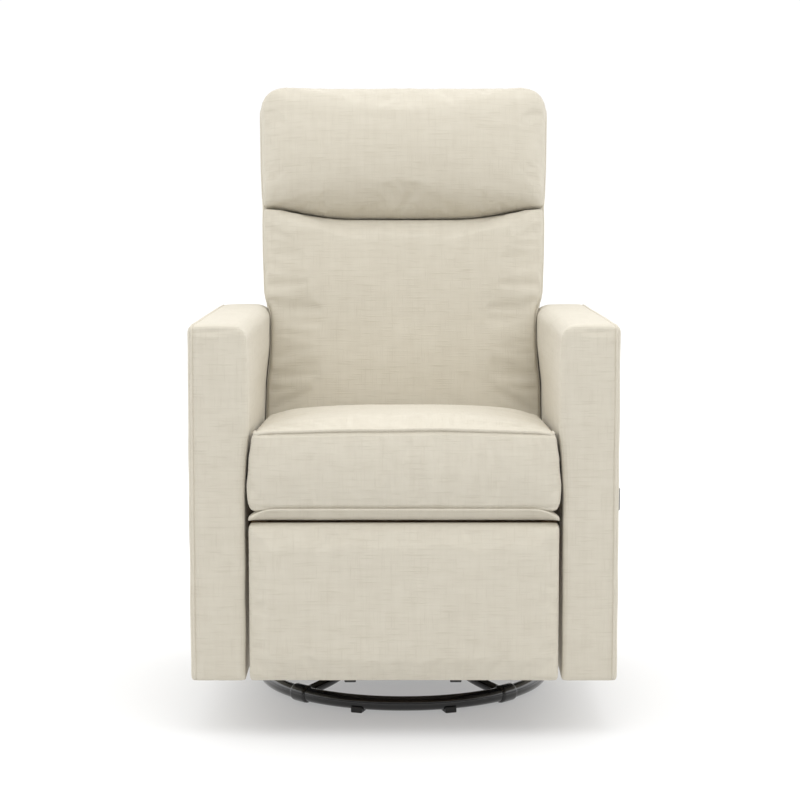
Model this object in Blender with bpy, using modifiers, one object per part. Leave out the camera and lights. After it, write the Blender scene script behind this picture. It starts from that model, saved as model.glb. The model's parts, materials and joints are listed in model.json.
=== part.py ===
"""Glider nursery chair: an upholstered swivel glider with a reclining back and a lifting footrest.

Units are metres, +Z is up and the chair faces -Y. The origin is on the floor, on the swivel axis.
"""

import math

import bmesh
import bpy
from mathutils import Matrix, Vector

# ---- Upholstered body
ARM_OUTER_X = 0.35
ARM_INNER_X = 0.2575
ARM_FRONT_Y = -0.42
ARM_REAR_Y = 0.245
ARM_TOP_FRONT_Z = 0.685
ARM_TOP_REAR_Z = 0.668
BODY_BOTTOM_Z = 0.097
ARM_WALL = 0.014
SEAT_FRONT_Y = -0.43
SEAT_BOTTOM_Z = 0.366
SEAT_TOP_Z = 0.515
SEAT_HALF_WIDTH = 0.2535

# ---- Swivel base
RING_RADIUS = 0.252
RING_TUBE = 0.0125
RING_Z = 0.0168
PAD_ANGLES = (-108, -72, 0, 72, 108, 180)
BASE_ARM_ANGLES = (-135, -45, 45, 135)
BASE_ARM_TUBE = 0.0095
HUB_CUP_RADIUS = 0.05
HUB_FLANGE_RADIUS = 0.10
HUB_FLANGE_Z = (0.056, 0.060)
RACE_Z = (0.0603, 0.0697)
SWIVEL_PLATE_Z = (0.070, 0.074)
BOLT_SHAFT_RADIUS = 0.0075
BOLT_HOLE_RADIUS = 0.0085

# ---- Glide mechanism: each layer's inner and outer |x|
CARRIAGE_X = (0.188, 0.192)
GLIDE_LINK_X = (0.1935, 0.1975)
GLIDE_RAIL_X = (0.199, 0.2252)
MECHANISM_X = (0.2255, 0.2295)
GLIDE_PIVOT_Y = 0.13
GLIDE_TOP_Z = 0.255
GLIDE_LOW_Z = 0.125
CARRIAGE_RAIL_Z = (0.0743, 0.0943)

# ---- Footrest linkage: each layer's inner and outer |x|
LOWER_LINK_X = (0.2205, 0.2245)
UPPER_LINK_X = (0.2155, 0.2195)
PANEL_BRACKET_X = (0.2105, 0.2145)
FOOTREST_PIVOT = (-0.264, 0.3035)
LOWER_LINK_LENGTH = 0.19
LOWER_LINK_ANGLE = 12
UPPER_LINK_LENGTH = 0.21
UPPER_LINK_ANGLE = 160
LINK_HALF_WIDTH = 0.011
FOOTREST_TOP_Z = 0.355
FOOTREST_PAD_Y = (-0.43, -0.404)
FOOTREST_BOARD_Y = (-0.4037, -0.3917)

# ---- Reclining back: u runs across, s up along the back, f forward out of it
BACK_PIVOT = (0.17, 0.36)
BACK_LEAN = 16
BACK_BRACKET_X = (0.2205, 0.2245)
BACK_LOW_HALF = 0.247
BACK_SHOULDER_HALF = 0.263
BACK_TOP_HALF = 0.276
BACK_BOTTOM_S = 0.02
SHOULDER_S = (0.33, 0.35)
SEAM_S = 0.474
BACK_TOP_S = 0.727
BACK_CORNER = 0.05
PAD_F = (0.029, 0.108)
COVER_F = (-0.051, 0.0285)
COVER_WALL = 0.008

# ---- Pivots and the release handle
STUD_RADIUS = 0.006
HOLE_RADIUS = 0.0064
HANDLE_HINGE_Y = -0.372
HANDLE_Z = 0.391
CUP_Y = (-0.379, -0.297)
CUP_Z = (0.3705, 0.4115)
CUP_WALL = 0.0025
CUP_X = (0.3275, 0.3503)
FLANGE_X = 0.3525
GAP = 0.0003

SIDES = (("left", -1), ("right", 1))
SMOOTH_ANGLE = math.radians(35)


# ---------------------------------------------------------------- scene, materials and helpers

for old in list(bpy.data.objects):
    bpy.data.objects.remove(old, do_unlink=True)

parts = bpy.data.collections.new("glider_chair")
cutters = bpy.data.collections.new("cutters")
bpy.context.scene.collection.children.link(parts)
bpy.context.scene.collection.children.link(cutters)


def make_material(name, color, roughness, metallic=0.0):
    """A plain Principled material."""
    material = bpy.data.materials.new(name)
    material.use_nodes = True
    shader = material.node_tree.nodes["Principled BSDF"]
    shader.inputs["Base Color"].default_value = (*color, 1)
    shader.inputs["Roughness"].default_value = roughness
    shader.inputs["Metallic"].default_value = metallic
    return material


LINEN = make_material("cream_linen", (0.68, 0.63, 0.53), 0.95)
BLACK_STEEL = make_material("black_painted_steel", (0.012, 0.012, 0.013), 0.3, 0.4)
ZINC_STEEL = make_material("zinc_plated_steel", (0.45, 0.46, 0.47), 0.35, 1.0)
SPRING_STEEL = make_material("spring_steel", (0.12, 0.12, 0.13), 0.4, 1.0)
HARDWOOD = make_material("hardwood", (0.50, 0.34, 0.19), 0.7)
PLYWOOD = make_material("plywood", (0.62, 0.47, 0.30), 0.75)
BLACK_PLASTIC = make_material("black_plastic", (0.02, 0.02, 0.02), 0.5)


def add_empty(name, location, tilt=0.0):
    """An axis marker that moving pieces are parented to."""
    empty = bpy.data.objects.new(name, None)
    empty.location = location
    empty.rotation_euler = (tilt, 0, 0)
    empty.empty_display_size = 0.03
    parts.objects.link(empty)
    return empty


def ride_on(obj, empty):
    """Parent obj to empty and keep obj's own coordinates as world coordinates."""
    turn = Matrix.Rotation(empty.rotation_euler.x, 4, "X")
    obj.parent = empty
    obj.matrix_parent_inverse = (Matrix.Translation(empty.location) @ turn).inverted()
    return obj


def add_object(name, data, material, is_cutter=False):
    """Link a new object for data, among the parts or among the cutters."""
    obj = bpy.data.objects.new(name, data)
    if is_cutter:
        obj.hide_render = True
        obj.display_type = "WIRE"
        cutters.objects.link(obj)
        return obj
    data.materials.append(material)
    parts.objects.link(obj)
    return obj


def bevel_edges(obj, width, segments=2, angle=40):
    """Round the sharp edges of obj."""
    bevel = obj.modifiers.new("rounded_edges", "BEVEL")
    bevel.width = width
    bevel.segments = segments
    bevel.limit_method = "ANGLE"
    bevel.angle_limit = math.radians(angle)
    return bevel


def add_boolean(obj, tool, operation):
    """Cut obj with tool, or join tool to it."""
    boolean = obj.modifiers.new(operation.lower(), "BOOLEAN")
    boolean.operation = operation
    boolean.object = tool
    return boolean


def add_box(name, low, high, material, bevel=0.0, is_cutter=False):
    """A box between two corners."""
    mesh = bpy.data.meshes.new(name)
    form = bmesh.new()
    bmesh.ops.create_cube(form, size=1.0)
    size = [b - a for a, b in zip(low, high)]
    middle = [(a + b) / 2 for a, b in zip(low, high)]
    bmesh.ops.scale(form, vec=size, verts=form.verts)
    form.to_mesh(mesh)
    form.free()
    obj = add_object(name, mesh, material, is_cutter)
    obj.location = middle
    if bevel:
        bevel_edges(obj, bevel)
    return obj


def add_block(name, corner, material, bevel, segments=3, open_bottom=False):
    """A soft block: corner(x, y, z) gives the place of each corner, for x, y and z of -1 or 1."""
    mesh = bpy.data.meshes.new(name)
    form = bmesh.new()
    bmesh.ops.create_cube(form, size=2.0)
    bottom = [f for f in form.faces if f.normal.z < -0.9]
    for vert in form.verts:
        vert.co = corner(*(round(c) for c in vert.co))
    if open_bottom:
        bmesh.ops.delete(form, geom=bottom, context="FACES_ONLY")
    bmesh.ops.recalc_face_normals(form, faces=form.faces)
    form.to_mesh(mesh)
    form.free()
    obj = add_object(name, mesh, material)
    bevel_edges(obj, bevel, segments)
    return obj


def add_cylinder(name, radius, start, end, material, segments=24, is_cutter=False):
    """A solid round bar from start to end."""
    start = Vector(start)
    axis = Vector(end) - start
    mesh = bpy.data.meshes.new(name)
    form = bmesh.new()
    bmesh.ops.create_cone(
        form, cap_ends=True, segments=segments, radius1=radius, radius2=radius, depth=axis.length
    )
    form.to_mesh(mesh)
    form.free()
    mesh.shade_smooth()
    mesh.set_sharp_from_angle(angle=SMOOTH_ANGLE)
    obj = add_object(name, mesh, material, is_cutter)
    obj.location = start + axis / 2
    obj.rotation_euler = Vector((0, 0, 1)).rotation_difference(axis).to_euler()
    return obj


def add_turned(name, profile, material, segments=32):
    """A turned piece on the Z axis: profile is a closed loop of (radius, z), down its outer side."""
    mesh = bpy.data.meshes.new(name)
    closed = list(profile) + [profile[0]]
    edges = [(i, i + 1) for i in range(len(closed) - 1)]
    mesh.from_pydata([(r, 0, z) for r, z in closed], edges, [])
    obj = add_object(name, mesh, material)
    screw = obj.modifiers.new("turned", "SCREW")
    screw.steps = segments
    screw.render_steps = segments
    screw.use_merge_vertices = True
    screw.merge_threshold = 0.0001
    screw.use_smooth_shade = False
    weld = obj.modifiers.new("closed_profile", "WELD")
    weld.merge_threshold = 0.0001
    return obj


def curve_to_mesh(obj, material):
    """Replace a curve object with its mesh, its caps welded on."""
    bpy.context.view_layer.update()
    graph = bpy.context.evaluated_depsgraph_get()
    mesh = bpy.data.meshes.new_from_object(obj.evaluated_get(graph))
    form = bmesh.new()
    form.from_mesh(mesh)
    bmesh.ops.remove_doubles(form, verts=form.verts, dist=0.00005)
    form.to_mesh(mesh)
    form.free()
    mesh.materials.clear()
    name, place = obj.name, obj.matrix_world.copy()
    bpy.data.objects.remove(obj, do_unlink=True)
    solid = add_object(name, mesh, material)
    solid.matrix_world = place
    return solid


def add_plate(name, outlines, thickness, material, place):
    """A flat sheet: the first outline is its edge, the others are holes through it."""
    curve = bpy.data.curves.new(name, "CURVE")
    curve.dimensions = "2D"
    curve.fill_mode = "BOTH"
    curve.extrude = thickness / 2
    curve.resolution_u = 1
    curve.render_resolution_u = 0
    for outline in outlines:
        spline = curve.splines.new("POLY")
        spline.points.add(len(outline) - 1)
        spline.use_cyclic_u = True
        for point, (a, b) in zip(spline.points, outline):
            point.co = (a, b, 0, 1)
    obj = bpy.data.objects.new(name, curve)
    obj.matrix_world = place
    parts.objects.link(obj)
    return curve_to_mesh(obj, material)


def side_place(x_range, side):
    """Where a plate drawn in Y and Z goes, between two distances from the middle plane."""
    middle = side * (x_range[0] + x_range[1]) / 2
    columns = Matrix(((0, 0, 1, middle), (1, 0, 0, 0), (0, 1, 0, 0), (0, 0, 0, 1)))
    return columns


def thickness_of(span):
    return span[1] - span[0]


def circle(center, radius, segments=24):
    """Points round a circle in a plate's plane."""
    steps = [2 * math.pi * i / segments for i in range(segments)]
    return [(center[0] + radius * math.cos(a), center[1] + radius * math.sin(a)) for a in steps]


def arc(center, radius, start, end, segments=6):
    """Points along an arc, with its angles in degrees."""
    angles = [math.radians(start + (end - start) * i / segments) for i in range(segments + 1)]
    return [(center[0] + radius * math.cos(a), center[1] + radius * math.sin(a)) for a in angles]


def link_outline(start, end, half_width):
    """The outline of a bar with round ends."""
    along = math.degrees(math.atan2(end[1] - start[1], end[0] - start[0]))
    return arc(start, half_width, along + 90, along + 270, 8) + arc(
        end, half_width, along - 90, along + 90, 8
    )


def add_stud(obj, center, x_range, side):
    """Join a round stud, running across the chair, to obj."""
    low, high = sorted((side * x_range[0], side * x_range[1]))
    stud = add_cylinder(
        obj.name + "_stud_tool",
        STUD_RADIUS,
        (low, *center),
        (high, *center),
        None,
        is_cutter=True,
    )
    add_boolean(obj, stud, "UNION")


def link_end(start, length, angle):
    """The far pivot of a footrest link: angle 0 hangs down, 90 points forward and 180 up."""
    turn = math.radians(angle)
    return (start[0] - length * math.sin(turn), start[1] - length * math.cos(turn))


# ---------------------------------------------------------------- axes

ELBOW = link_end(FOOTREST_PIVOT, LOWER_LINK_LENGTH, LOWER_LINK_ANGLE)
PANEL_PIVOT = link_end(ELBOW, UPPER_LINK_LENGTH, UPPER_LINK_ANGLE)
BACK_TILT = math.radians(90 - BACK_LEAN)

swivel_axis = add_empty("swivel_axis", (0, 0, SWIVEL_PLATE_Z[0]))
front_glide_axis = add_empty("front_glide_axis", (0, -GLIDE_PIVOT_Y, GLIDE_TOP_Z))
rear_glide_axis = add_empty("rear_glide_axis", (0, GLIDE_PIVOT_Y, GLIDE_TOP_Z))
chair_axis = add_empty("chair_axis", (0, -GLIDE_PIVOT_Y, GLIDE_LOW_Z))
footrest_axis = add_empty("footrest_axis", (0, *FOOTREST_PIVOT))
elbow_axis = add_empty("elbow_axis", (0, *ELBOW))
panel_axis = add_empty("panel_axis", (0, *PANEL_PIVOT))
back_axis = add_empty("back_axis", (0, *BACK_PIVOT), BACK_TILT)
handle_axis = add_empty("handle_axis", (FLANGE_X, HANDLE_HINGE_Y, HANDLE_Z))


# ---------------------------------------------------------------- swivel base


def build_ring():
    bpy.ops.mesh.primitive_torus_add(
        major_radius=RING_RADIUS,
        minor_radius=RING_TUBE,
        major_segments=60,
        minor_segments=12,
        location=(0, 0, RING_Z),
    )
    ring = bpy.context.object
    ring.name = "base_ring"
    for owner in list(ring.users_collection):
        owner.objects.unlink(ring)
    parts.objects.link(ring)
    ring.data.materials.append(BLACK_STEEL)
    ring.data.shade_smooth()


def build_glide_pad(number, degrees):
    """A block under the ring, grooved to seat the tube."""
    pad_width, pad_depth, pad_top = 0.020, 0.027, 0.011
    groove = RING_TUBE + 0.0009
    turn = math.radians(degrees)
    out = Vector((math.cos(turn), math.sin(turn), 0))
    across = Vector((-out.y, out.x, 0))
    half = (pad_depth / 2, pad_width / 2, pad_top / 2)
    pad = add_box(f"glide_pad_{number}", [-h for h in half], half, BLACK_PLASTIC, 0.0015)
    pad.location = out * RING_RADIUS + Vector((0, 0, pad_top / 2))
    pad.rotation_euler = (0, 0, turn)
    center = out * RING_RADIUS + Vector((0, 0, RING_Z))
    tool = add_cylinder(
        f"{pad.name}_groove", groove, center - across * 0.02, center + across * 0.02, None,
        is_cutter=True,
    )
    add_boolean(pad, tool, "DIFFERENCE")


def build_base_arm(number, degrees):
    """A tube from the hub to a sleeve that is clamped round the ring."""
    sleeve_length, sleeve_radius = 0.034, 0.0155
    bore = RING_TUBE + 0.0012
    hub_z = 0.0455
    turn = math.radians(degrees)
    out = Vector((math.cos(turn), math.sin(turn), 0))
    across = Vector((-out.y, out.x, 0))
    ring_point = out * RING_RADIUS + Vector((0, 0, RING_Z))
    knee = out * 0.19 + Vector((0, 0, 0.026))
    curve = bpy.data.curves.new(f"base_arm_{number}", "CURVE")
    curve.dimensions = "3D"
    curve.bevel_depth = BASE_ARM_TUBE
    curve.bevel_resolution = 3
    curve.use_fill_caps = True
    spline = curve.splines.new("POLY")
    route = [
        out * (HUB_CUP_RADIUS + GAP) + Vector((0, 0, hub_z)),
        out * 0.10 + Vector((0, 0, hub_z)),
        knee,
        out * (RING_RADIUS - RING_TUBE - 0.0025) + Vector((0, 0, RING_Z)),
    ]
    spline.points.add(len(route) - 1)
    for point, place in zip(spline.points, route):
        point.co = (*place, 1)
    obj = bpy.data.objects.new(f"base_arm_{number}", curve)
    parts.objects.link(obj)
    arm = curve_to_mesh(obj, BLACK_STEEL)
    arm.data.shade_smooth()
    arm.data.set_sharp_from_angle(angle=SMOOTH_ANGLE)
    half = across * sleeve_length / 2
    sleeve = add_cylinder(
        f"{arm.name}_sleeve", sleeve_radius, ring_point - half, ring_point + half, None,
        is_cutter=True,
    )
    add_boolean(arm, sleeve, "UNION")
    hole = add_cylinder(
        f"{arm.name}_bore", bore, ring_point - half * 1.5, ring_point + half * 1.5, None,
        is_cutter=True,
    )
    add_boolean(arm, hole, "DIFFERENCE")


def build_hub():
    """The pressed hub, the ball race on it and the swivel plate above."""
    cup_bottom = 0.034
    low, high = HUB_FLANGE_Z
    hub = [
        (HUB_FLANGE_RADIUS, high), (HUB_FLANGE_RADIUS, low), (HUB_CUP_RADIUS, low),
        (HUB_CUP_RADIUS, cup_bottom), (BOLT_HOLE_RADIUS, cup_bottom), (BOLT_HOLE_RADIUS, high),
    ]
    add_turned("base_hub", hub, BLACK_STEEL)
    race_inner, race_outer = 0.058, 0.086
    race = [
        (race_outer, RACE_Z[1]), (race_outer, RACE_Z[0]), (race_inner, RACE_Z[0]),
        (race_inner, RACE_Z[1]),
    ]
    add_turned("ball_race", race, ZINC_STEEL)


def build_swivel_plate():
    low, high = SWIVEL_PLATE_Z
    profile = [
        (HUB_FLANGE_RADIUS, high), (HUB_FLANGE_RADIUS, low), (BOLT_HOLE_RADIUS, low),
        (BOLT_HOLE_RADIUS, high),
    ]
    ride_on(add_turned("swivel_plate", profile, BLACK_STEEL), swivel_axis)
    head_radius, head_top, shaft_end = 0.014, 0.0815, 0.028
    head_low = high + GAP
    bolt = [
        (0, head_top), (head_radius, head_top), (head_radius, head_low),
        (BOLT_SHAFT_RADIUS, head_low), (BOLT_SHAFT_RADIUS, shaft_end), (0, shaft_end),
    ]
    ride_on(add_turned("pivot_bolt", bolt, ZINC_STEEL, 24), swivel_axis)


# ---------------------------------------------------------------- glide mechanism


def build_carriage():
    """Two cross rails on the swivel plate, and a side plate on each end of them."""
    rail_y, half_depth = 0.074, 0.014
    reach = CARRIAGE_X[0] - GAP
    for name, side in (("front", -1), ("rear", 1)):
        low = (-reach, side * rail_y - half_depth, CARRIAGE_RAIL_Z[0])
        high = (reach, side * rail_y + half_depth, CARRIAGE_RAIL_Z[1])
        ride_on(add_box(f"carriage_{name}_rail", low, high, BLACK_STEEL, 0.002), swivel_axis)
    for name, side in SIDES:
        boss = 0.016
        outline = (
            [(-0.10, CARRIAGE_RAIL_Z[0]), (0.10, CARRIAGE_RAIL_Z[0])]
            + arc((GLIDE_PIVOT_Y, GLIDE_TOP_Z), boss, -20, 90)
            + arc((-GLIDE_PIVOT_Y, GLIDE_TOP_Z), boss, 90, 200)
        )
        plate = add_plate(
            f"carriage_side_{name}", [outline], thickness_of(CARRIAGE_X), BLACK_STEEL,
            side_place(CARRIAGE_X, side),
        )
        for y in (-GLIDE_PIVOT_Y, GLIDE_PIVOT_Y):
            add_stud(plate, (y, GLIDE_TOP_Z), (CARRIAGE_X[0] + 0.002, 0.1983), side)
        ride_on(plate, swivel_axis)


def build_glide_link(label, y, axis):
    """The pair of links that hang the chair from the carriage at one end."""
    ends = (y, GLIDE_TOP_Z), (y, GLIDE_LOW_Z)
    outlines = [link_outline(*ends, 0.012)] + [circle(end, HOLE_RADIUS) for end in ends]
    for name, side in SIDES:
        link = add_plate(
            f"{label}_glide_link_{name}", outlines, thickness_of(GLIDE_LINK_X), ZINC_STEEL,
            side_place(GLIDE_LINK_X, side),
        )
        ride_on(link, axis)


def build_glide_rails():
    """Box rails that the links carry, each with a stud for the front and the rear link."""
    half_length, low_z, high_z = 0.17, 0.112, 0.140
    for name, side in SIDES:
        low_x, high_x = sorted(side * x for x in GLIDE_RAIL_X)
        rail = add_box(
            f"glide_rail_{name}", (low_x, -half_length, low_z), (high_x, half_length, high_z),
            BLACK_STEEL, 0.002,
        )
        for y in (-GLIDE_PIVOT_Y, GLIDE_PIVOT_Y):
            add_stud(rail, (y, GLIDE_LOW_Z), (0.1930, GLIDE_RAIL_X[0] + 0.006), side)
        ride_on(rail, chair_axis)


def build_mechanism_plates():
    """The recliner's side plates, with a stud for the footrest and one for the back."""
    ear = 0.016
    boss = 0.013
    outline = (
        [(-0.18, 0.112), (0.175, 0.112), (0.186, 0.25), (0.186, 0.345)]
        + arc(BACK_PIVOT, ear, 0, 180)
        + [(BACK_PIVOT[0] - ear, 0.345), (FOOTREST_PIVOT[0] - boss, 0.345)]
        + arc(FOOTREST_PIVOT, boss, 180, 250)
    )
    for name, side in SIDES:
        plate = add_plate(
            f"mechanism_plate_{name}", [outline], thickness_of(MECHANISM_X), BLACK_STEEL,
            side_place(MECHANISM_X, side),
        )
        for pivot in (FOOTREST_PIVOT, BACK_PIVOT):
            add_stud(plate, pivot, (0.2198, MECHANISM_X[0] + 0.002), side)
        ride_on(plate, chair_axis)


# ---------------------------------------------------------------- seat box and cushions


def build_seat_box():
    """Wooden rails round the springs."""
    top = 0.350
    boards = {
        "seat_front_rail": ((-0.2297, -0.375, 0.332), (0.2297, -0.305, top)),
        "seat_rear_rail": ((-0.2252, 0.100, 0.300), (0.2252, 0.130, top)),
        "seat_rail_left": ((-0.2560, -0.330, 0.270), (-0.2300, 0.190, top)),
        "seat_rail_right": ((0.2300, -0.330, 0.270), (0.2560, 0.190, top)),
    }
    for name, (low, high) in boards.items():
        ride_on(add_box(name, low, high, HARDWOOD, 0.0015), chair_axis)


def build_seat_spring(number, x):
    """A zigzag wire spring from the front rail to the rear rail."""
    start, end, height = -0.322, 0.118, 0.3525
    wire, swing, waves, per_wave = 0.0019, 0.021, 7, 8
    steps = waves * per_wave
    curve = bpy.data.curves.new(f"seat_spring_{number}", "CURVE")
    curve.dimensions = "3D"
    curve.bevel_depth = wire
    curve.bevel_resolution = 2
    curve.use_fill_caps = True
    spline = curve.splines.new("POLY")
    spline.points.add(steps)
    for i, point in enumerate(spline.points):
        y = start + (end - start) * i / steps
        point.co = (x + swing * math.sin(2 * math.pi * i / per_wave), y, height, 1)
    obj = bpy.data.objects.new(curve.name, curve)
    parts.objects.link(obj)
    ride_on(curve_to_mesh(obj, SPRING_STEEL), chair_axis)


def build_seat_cushion():
    rear_low_y, rear_high_y = 0.050, 0.084

    def corner(x, y, z):
        rear = rear_high_y if z > 0 else rear_low_y
        return (
            x * SEAT_HALF_WIDTH,
            rear if y > 0 else SEAT_FRONT_Y,
            SEAT_TOP_Z if z > 0 else SEAT_BOTTOM_Z,
        )

    ride_on(add_block("seat_cushion", corner, LINEN, 0.026), chair_axis)


def build_arm(name, side):
    """The padded arm cover, open underneath, and the board that stiffens it."""

    def corner(x, y, z):
        top = ARM_TOP_REAR_Z if y > 0 else ARM_TOP_FRONT_Z
        return (
            side * (ARM_OUTER_X if x * side > 0 else ARM_INNER_X),
            ARM_REAR_Y if y > 0 else ARM_FRONT_Y,
            top if z > 0 else BODY_BOTTOM_Z,
        )

    cover = add_block(f"arm_cover_{name}", corner, LINEN, 0.016, open_bottom=True)
    shell = cover.modifiers.new("padding", "SOLIDIFY")
    shell.thickness = ARM_WALL
    shell.offset = -1
    shell.use_even_offset = True
    if side > 0:
        low = (CUP_X[0] - 0.005, CUP_Y[0] - GAP, CUP_Z[0] - GAP)
        high = (CUP_X[1] + 0.01, CUP_Y[1] + GAP, CUP_Z[1] + GAP)
        add_boolean(cover, add_box("handle_window", low, high, None, is_cutter=True), "DIFFERENCE")
    ride_on(cover, chair_axis)
    low_x, high_x = sorted((side * 0.288, side * 0.312))
    board = add_box(
        f"arm_board_{name}", (low_x, -0.400, 0.105), (high_x, 0.225, 0.640), PLYWOOD, 0.002
    )
    ride_on(board, chair_axis)


def build_rear_panel():
    low = (-0.2560, 0.230, 0.100)
    high = (0.2560, 0.242, 0.328)
    ride_on(add_box("rear_panel", low, high, LINEN, 0.003), chair_axis)


# ---------------------------------------------------------------- reclining back


def half_width(s):
    """Half the back's width at a distance s up it."""
    if s <= SHOULDER_S[0]:
        return BACK_LOW_HALF
    if s <= SHOULDER_S[1]:
        part = (s - SHOULDER_S[0]) / (SHOULDER_S[1] - SHOULDER_S[0])
        return BACK_LOW_HALF + part * (BACK_SHOULDER_HALF - BACK_LOW_HALF)
    part = (s - SHOULDER_S[1]) / (BACK_TOP_S - SHOULDER_S[1])
    return BACK_SHOULDER_HALF + part * (BACK_TOP_HALF - BACK_SHOULDER_HALF)


def back_outline(low, high, inset=0.0, corner=0.0):
    """The back's outline between two heights up it, set in by inset."""
    levels = [low] + [s for s in SHOULDER_S if low < s < high]
    right = [(half_width(s) - inset, s) for s in levels]
    if corner:
        middle = (half_width(high) - inset - corner, high - inset - corner)
        right += arc(middle, corner, 0, 90)
    else:
        right.append((half_width(high) - inset, high))
    return right + [(-u, s) for u, s in reversed(right)]


def back_place(f_range):
    """Where a plate drawn in u and s goes, between two depths of the back."""
    middle = (f_range[0] + f_range[1]) / 2
    turn = Matrix.Rotation(BACK_TILT, 4, "X")
    return Matrix.Translation((0, *BACK_PIVOT)) @ turn @ Matrix.Translation((0, 0, middle))


def back_box(name, low, high, material, bevel=0.0):
    """A box in the back's own directions."""
    obj = add_box(name, low, high, material, bevel)
    obj.parent = back_axis
    return obj


def build_back_pads():
    gap = 0.003
    spans = {
        "lumbar_pad": back_outline(BACK_BOTTOM_S, SEAM_S - gap),
        "head_pad": back_outline(SEAM_S, BACK_TOP_S, corner=BACK_CORNER),
    }
    for name, outline in spans.items():
        pad = add_plate(name, [outline], thickness_of(PAD_F), LINEN, back_place(PAD_F))
        bevel_edges(pad, 0.018, 3, angle=60)
        ride_on(pad, back_axis)


def build_back_cover():
    """The fabric back: a tray that is open towards the pads and underneath."""
    outline = back_outline(BACK_BOTTOM_S, BACK_TOP_S, corner=BACK_CORNER)
    cover = add_plate("back_cover", [outline], thickness_of(COVER_F), LINEN, back_place(COVER_F))
    hollow_f = (COVER_F[0] + COVER_WALL, COVER_F[1] + 0.01)
    inner = back_outline(
        BACK_BOTTOM_S - 0.02, BACK_TOP_S, COVER_WALL, BACK_CORNER - COVER_WALL
    )
    hollow = add_plate(
        "back_hollow", [inner], thickness_of(hollow_f), LINEN, back_place(hollow_f)
    )
    parts.objects.unlink(hollow)
    cutters.objects.link(hollow)
    hollow.hide_render = True
    hollow.display_type = "WIRE"
    add_boolean(cover, hollow, "DIFFERENCE")
    ride_on(cover, back_axis)


def build_back_frame():
    frame_f = (-0.015, 0.0275)
    stile_x = (0.1925, 0.2202)
    stile_s = (0.03, 0.70)
    for name, side in SIDES:
        low_x, high_x = sorted(side * x for x in stile_x)
        back_box(
            f"back_stile_{name}", (low_x, stile_s[0], frame_f[0]), (high_x, stile_s[1], frame_f[1]),
            HARDWOOD, 0.0015,
        )
    reach = stile_x[0] - GAP
    rails = {"back_bottom_rail": (0.045, 0.095), "back_top_rail": (0.645, 0.70)}
    for name, (low, high) in rails.items():
        back_box(name, (-reach, low, -0.010), (reach, high, 0.020), HARDWOOD, 0.0015)


def build_back_brackets():
    """Steel straps that hang the back's stiles on the recliner plates."""
    lean = math.radians(BACK_LEAN)
    strap_length = 0.20
    end = (
        BACK_PIVOT[0] + strap_length * math.sin(lean),
        BACK_PIVOT[1] + strap_length * math.cos(lean),
    )
    outlines = [link_outline(BACK_PIVOT, end, 0.0125), circle(BACK_PIVOT, HOLE_RADIUS)]
    for name, side in SIDES:
        strap = add_plate(
            f"back_bracket_{name}", outlines, thickness_of(BACK_BRACKET_X), ZINC_STEEL,
            side_place(BACK_BRACKET_X, side),
        )
        ride_on(strap, back_axis)


# ---------------------------------------------------------------- footrest


def build_footrest_links():
    tube_reach = LOWER_LINK_X[0] - GAP
    tube_center = link_end(FOOTREST_PIVOT, 0.14, LOWER_LINK_ANGLE)
    lower = [
        link_outline(FOOTREST_PIVOT, ELBOW, LINK_HALF_WIDTH),
        circle(FOOTREST_PIVOT, HOLE_RADIUS),
    ]
    upper = [
        link_outline(ELBOW, PANEL_PIVOT, LINK_HALF_WIDTH),
        circle(ELBOW, HOLE_RADIUS),
        circle(PANEL_PIVOT, HOLE_RADIUS),
    ]
    for name, side in SIDES:
        link = add_plate(
            f"footrest_lower_link_{name}", lower, thickness_of(LOWER_LINK_X), ZINC_STEEL,
            side_place(LOWER_LINK_X, side),
        )
        add_stud(link, ELBOW, (0.2150, LOWER_LINK_X[0] + 0.002), side)
        ride_on(link, footrest_axis)
        link = add_plate(
            f"footrest_upper_link_{name}", upper, thickness_of(UPPER_LINK_X), ZINC_STEEL,
            side_place(UPPER_LINK_X, side),
        )
        ride_on(link, elbow_axis)
    tube = add_cylinder(
        "footrest_cross_tube", 0.008, (-tube_reach, *tube_center), (tube_reach, *tube_center),
        BLACK_STEEL, 20,
    )
    ride_on(tube, footrest_axis)


def build_footrest_panel():
    """The padded panel, its board and the two brackets that the links carry."""
    half = 0.2555
    bottom = BODY_BOTTOM_Z

    def corner(x, y, z):
        return (
            x * half,
            FOOTREST_PAD_Y[1] if y > 0 else FOOTREST_PAD_Y[0],
            FOOTREST_TOP_Z if z > 0 else bottom,
        )

    ride_on(add_block("footrest_pad", corner, LINEN, 0.009), panel_axis)
    board = add_box(
        "footrest_board",
        (-half + 0.006, FOOTREST_BOARD_Y[0], bottom + 0.006),
        (half - 0.006, FOOTREST_BOARD_Y[1], FOOTREST_TOP_Z - 0.004),
        PLYWOOD,
        0.0015,
    )
    ride_on(board, panel_axis)
    bracket_y = FOOTREST_BOARD_Y[1] + GAP
    low_z, high_z = 0.262, 0.343
    outline = [(bracket_y, low_z)] + arc(PANEL_PIVOT, 0.0125, -60, 60) + [(bracket_y, high_z)]
    for name, side in SIDES:
        bracket = add_plate(
            f"footrest_bracket_{name}", [outline], thickness_of(PANEL_BRACKET_X), ZINC_STEEL,
            side_place(PANEL_BRACKET_X, side),
        )
        low_x, high_x = sorted((side * 0.186, side * (PANEL_BRACKET_X[0] + 0.002)))
        flange = add_box(
            f"{bracket.name}_flange", (low_x, bracket_y, low_z), (high_x, bracket_y + 0.003, high_z),
            None, is_cutter=True,
        )
        add_boolean(bracket, flange, "UNION")
        add_stud(bracket, PANEL_PIVOT, (PANEL_BRACKET_X[1] - 0.002, 0.2199), side)
        ride_on(bracket, panel_axis)


# ---------------------------------------------------------------- release handle


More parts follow.
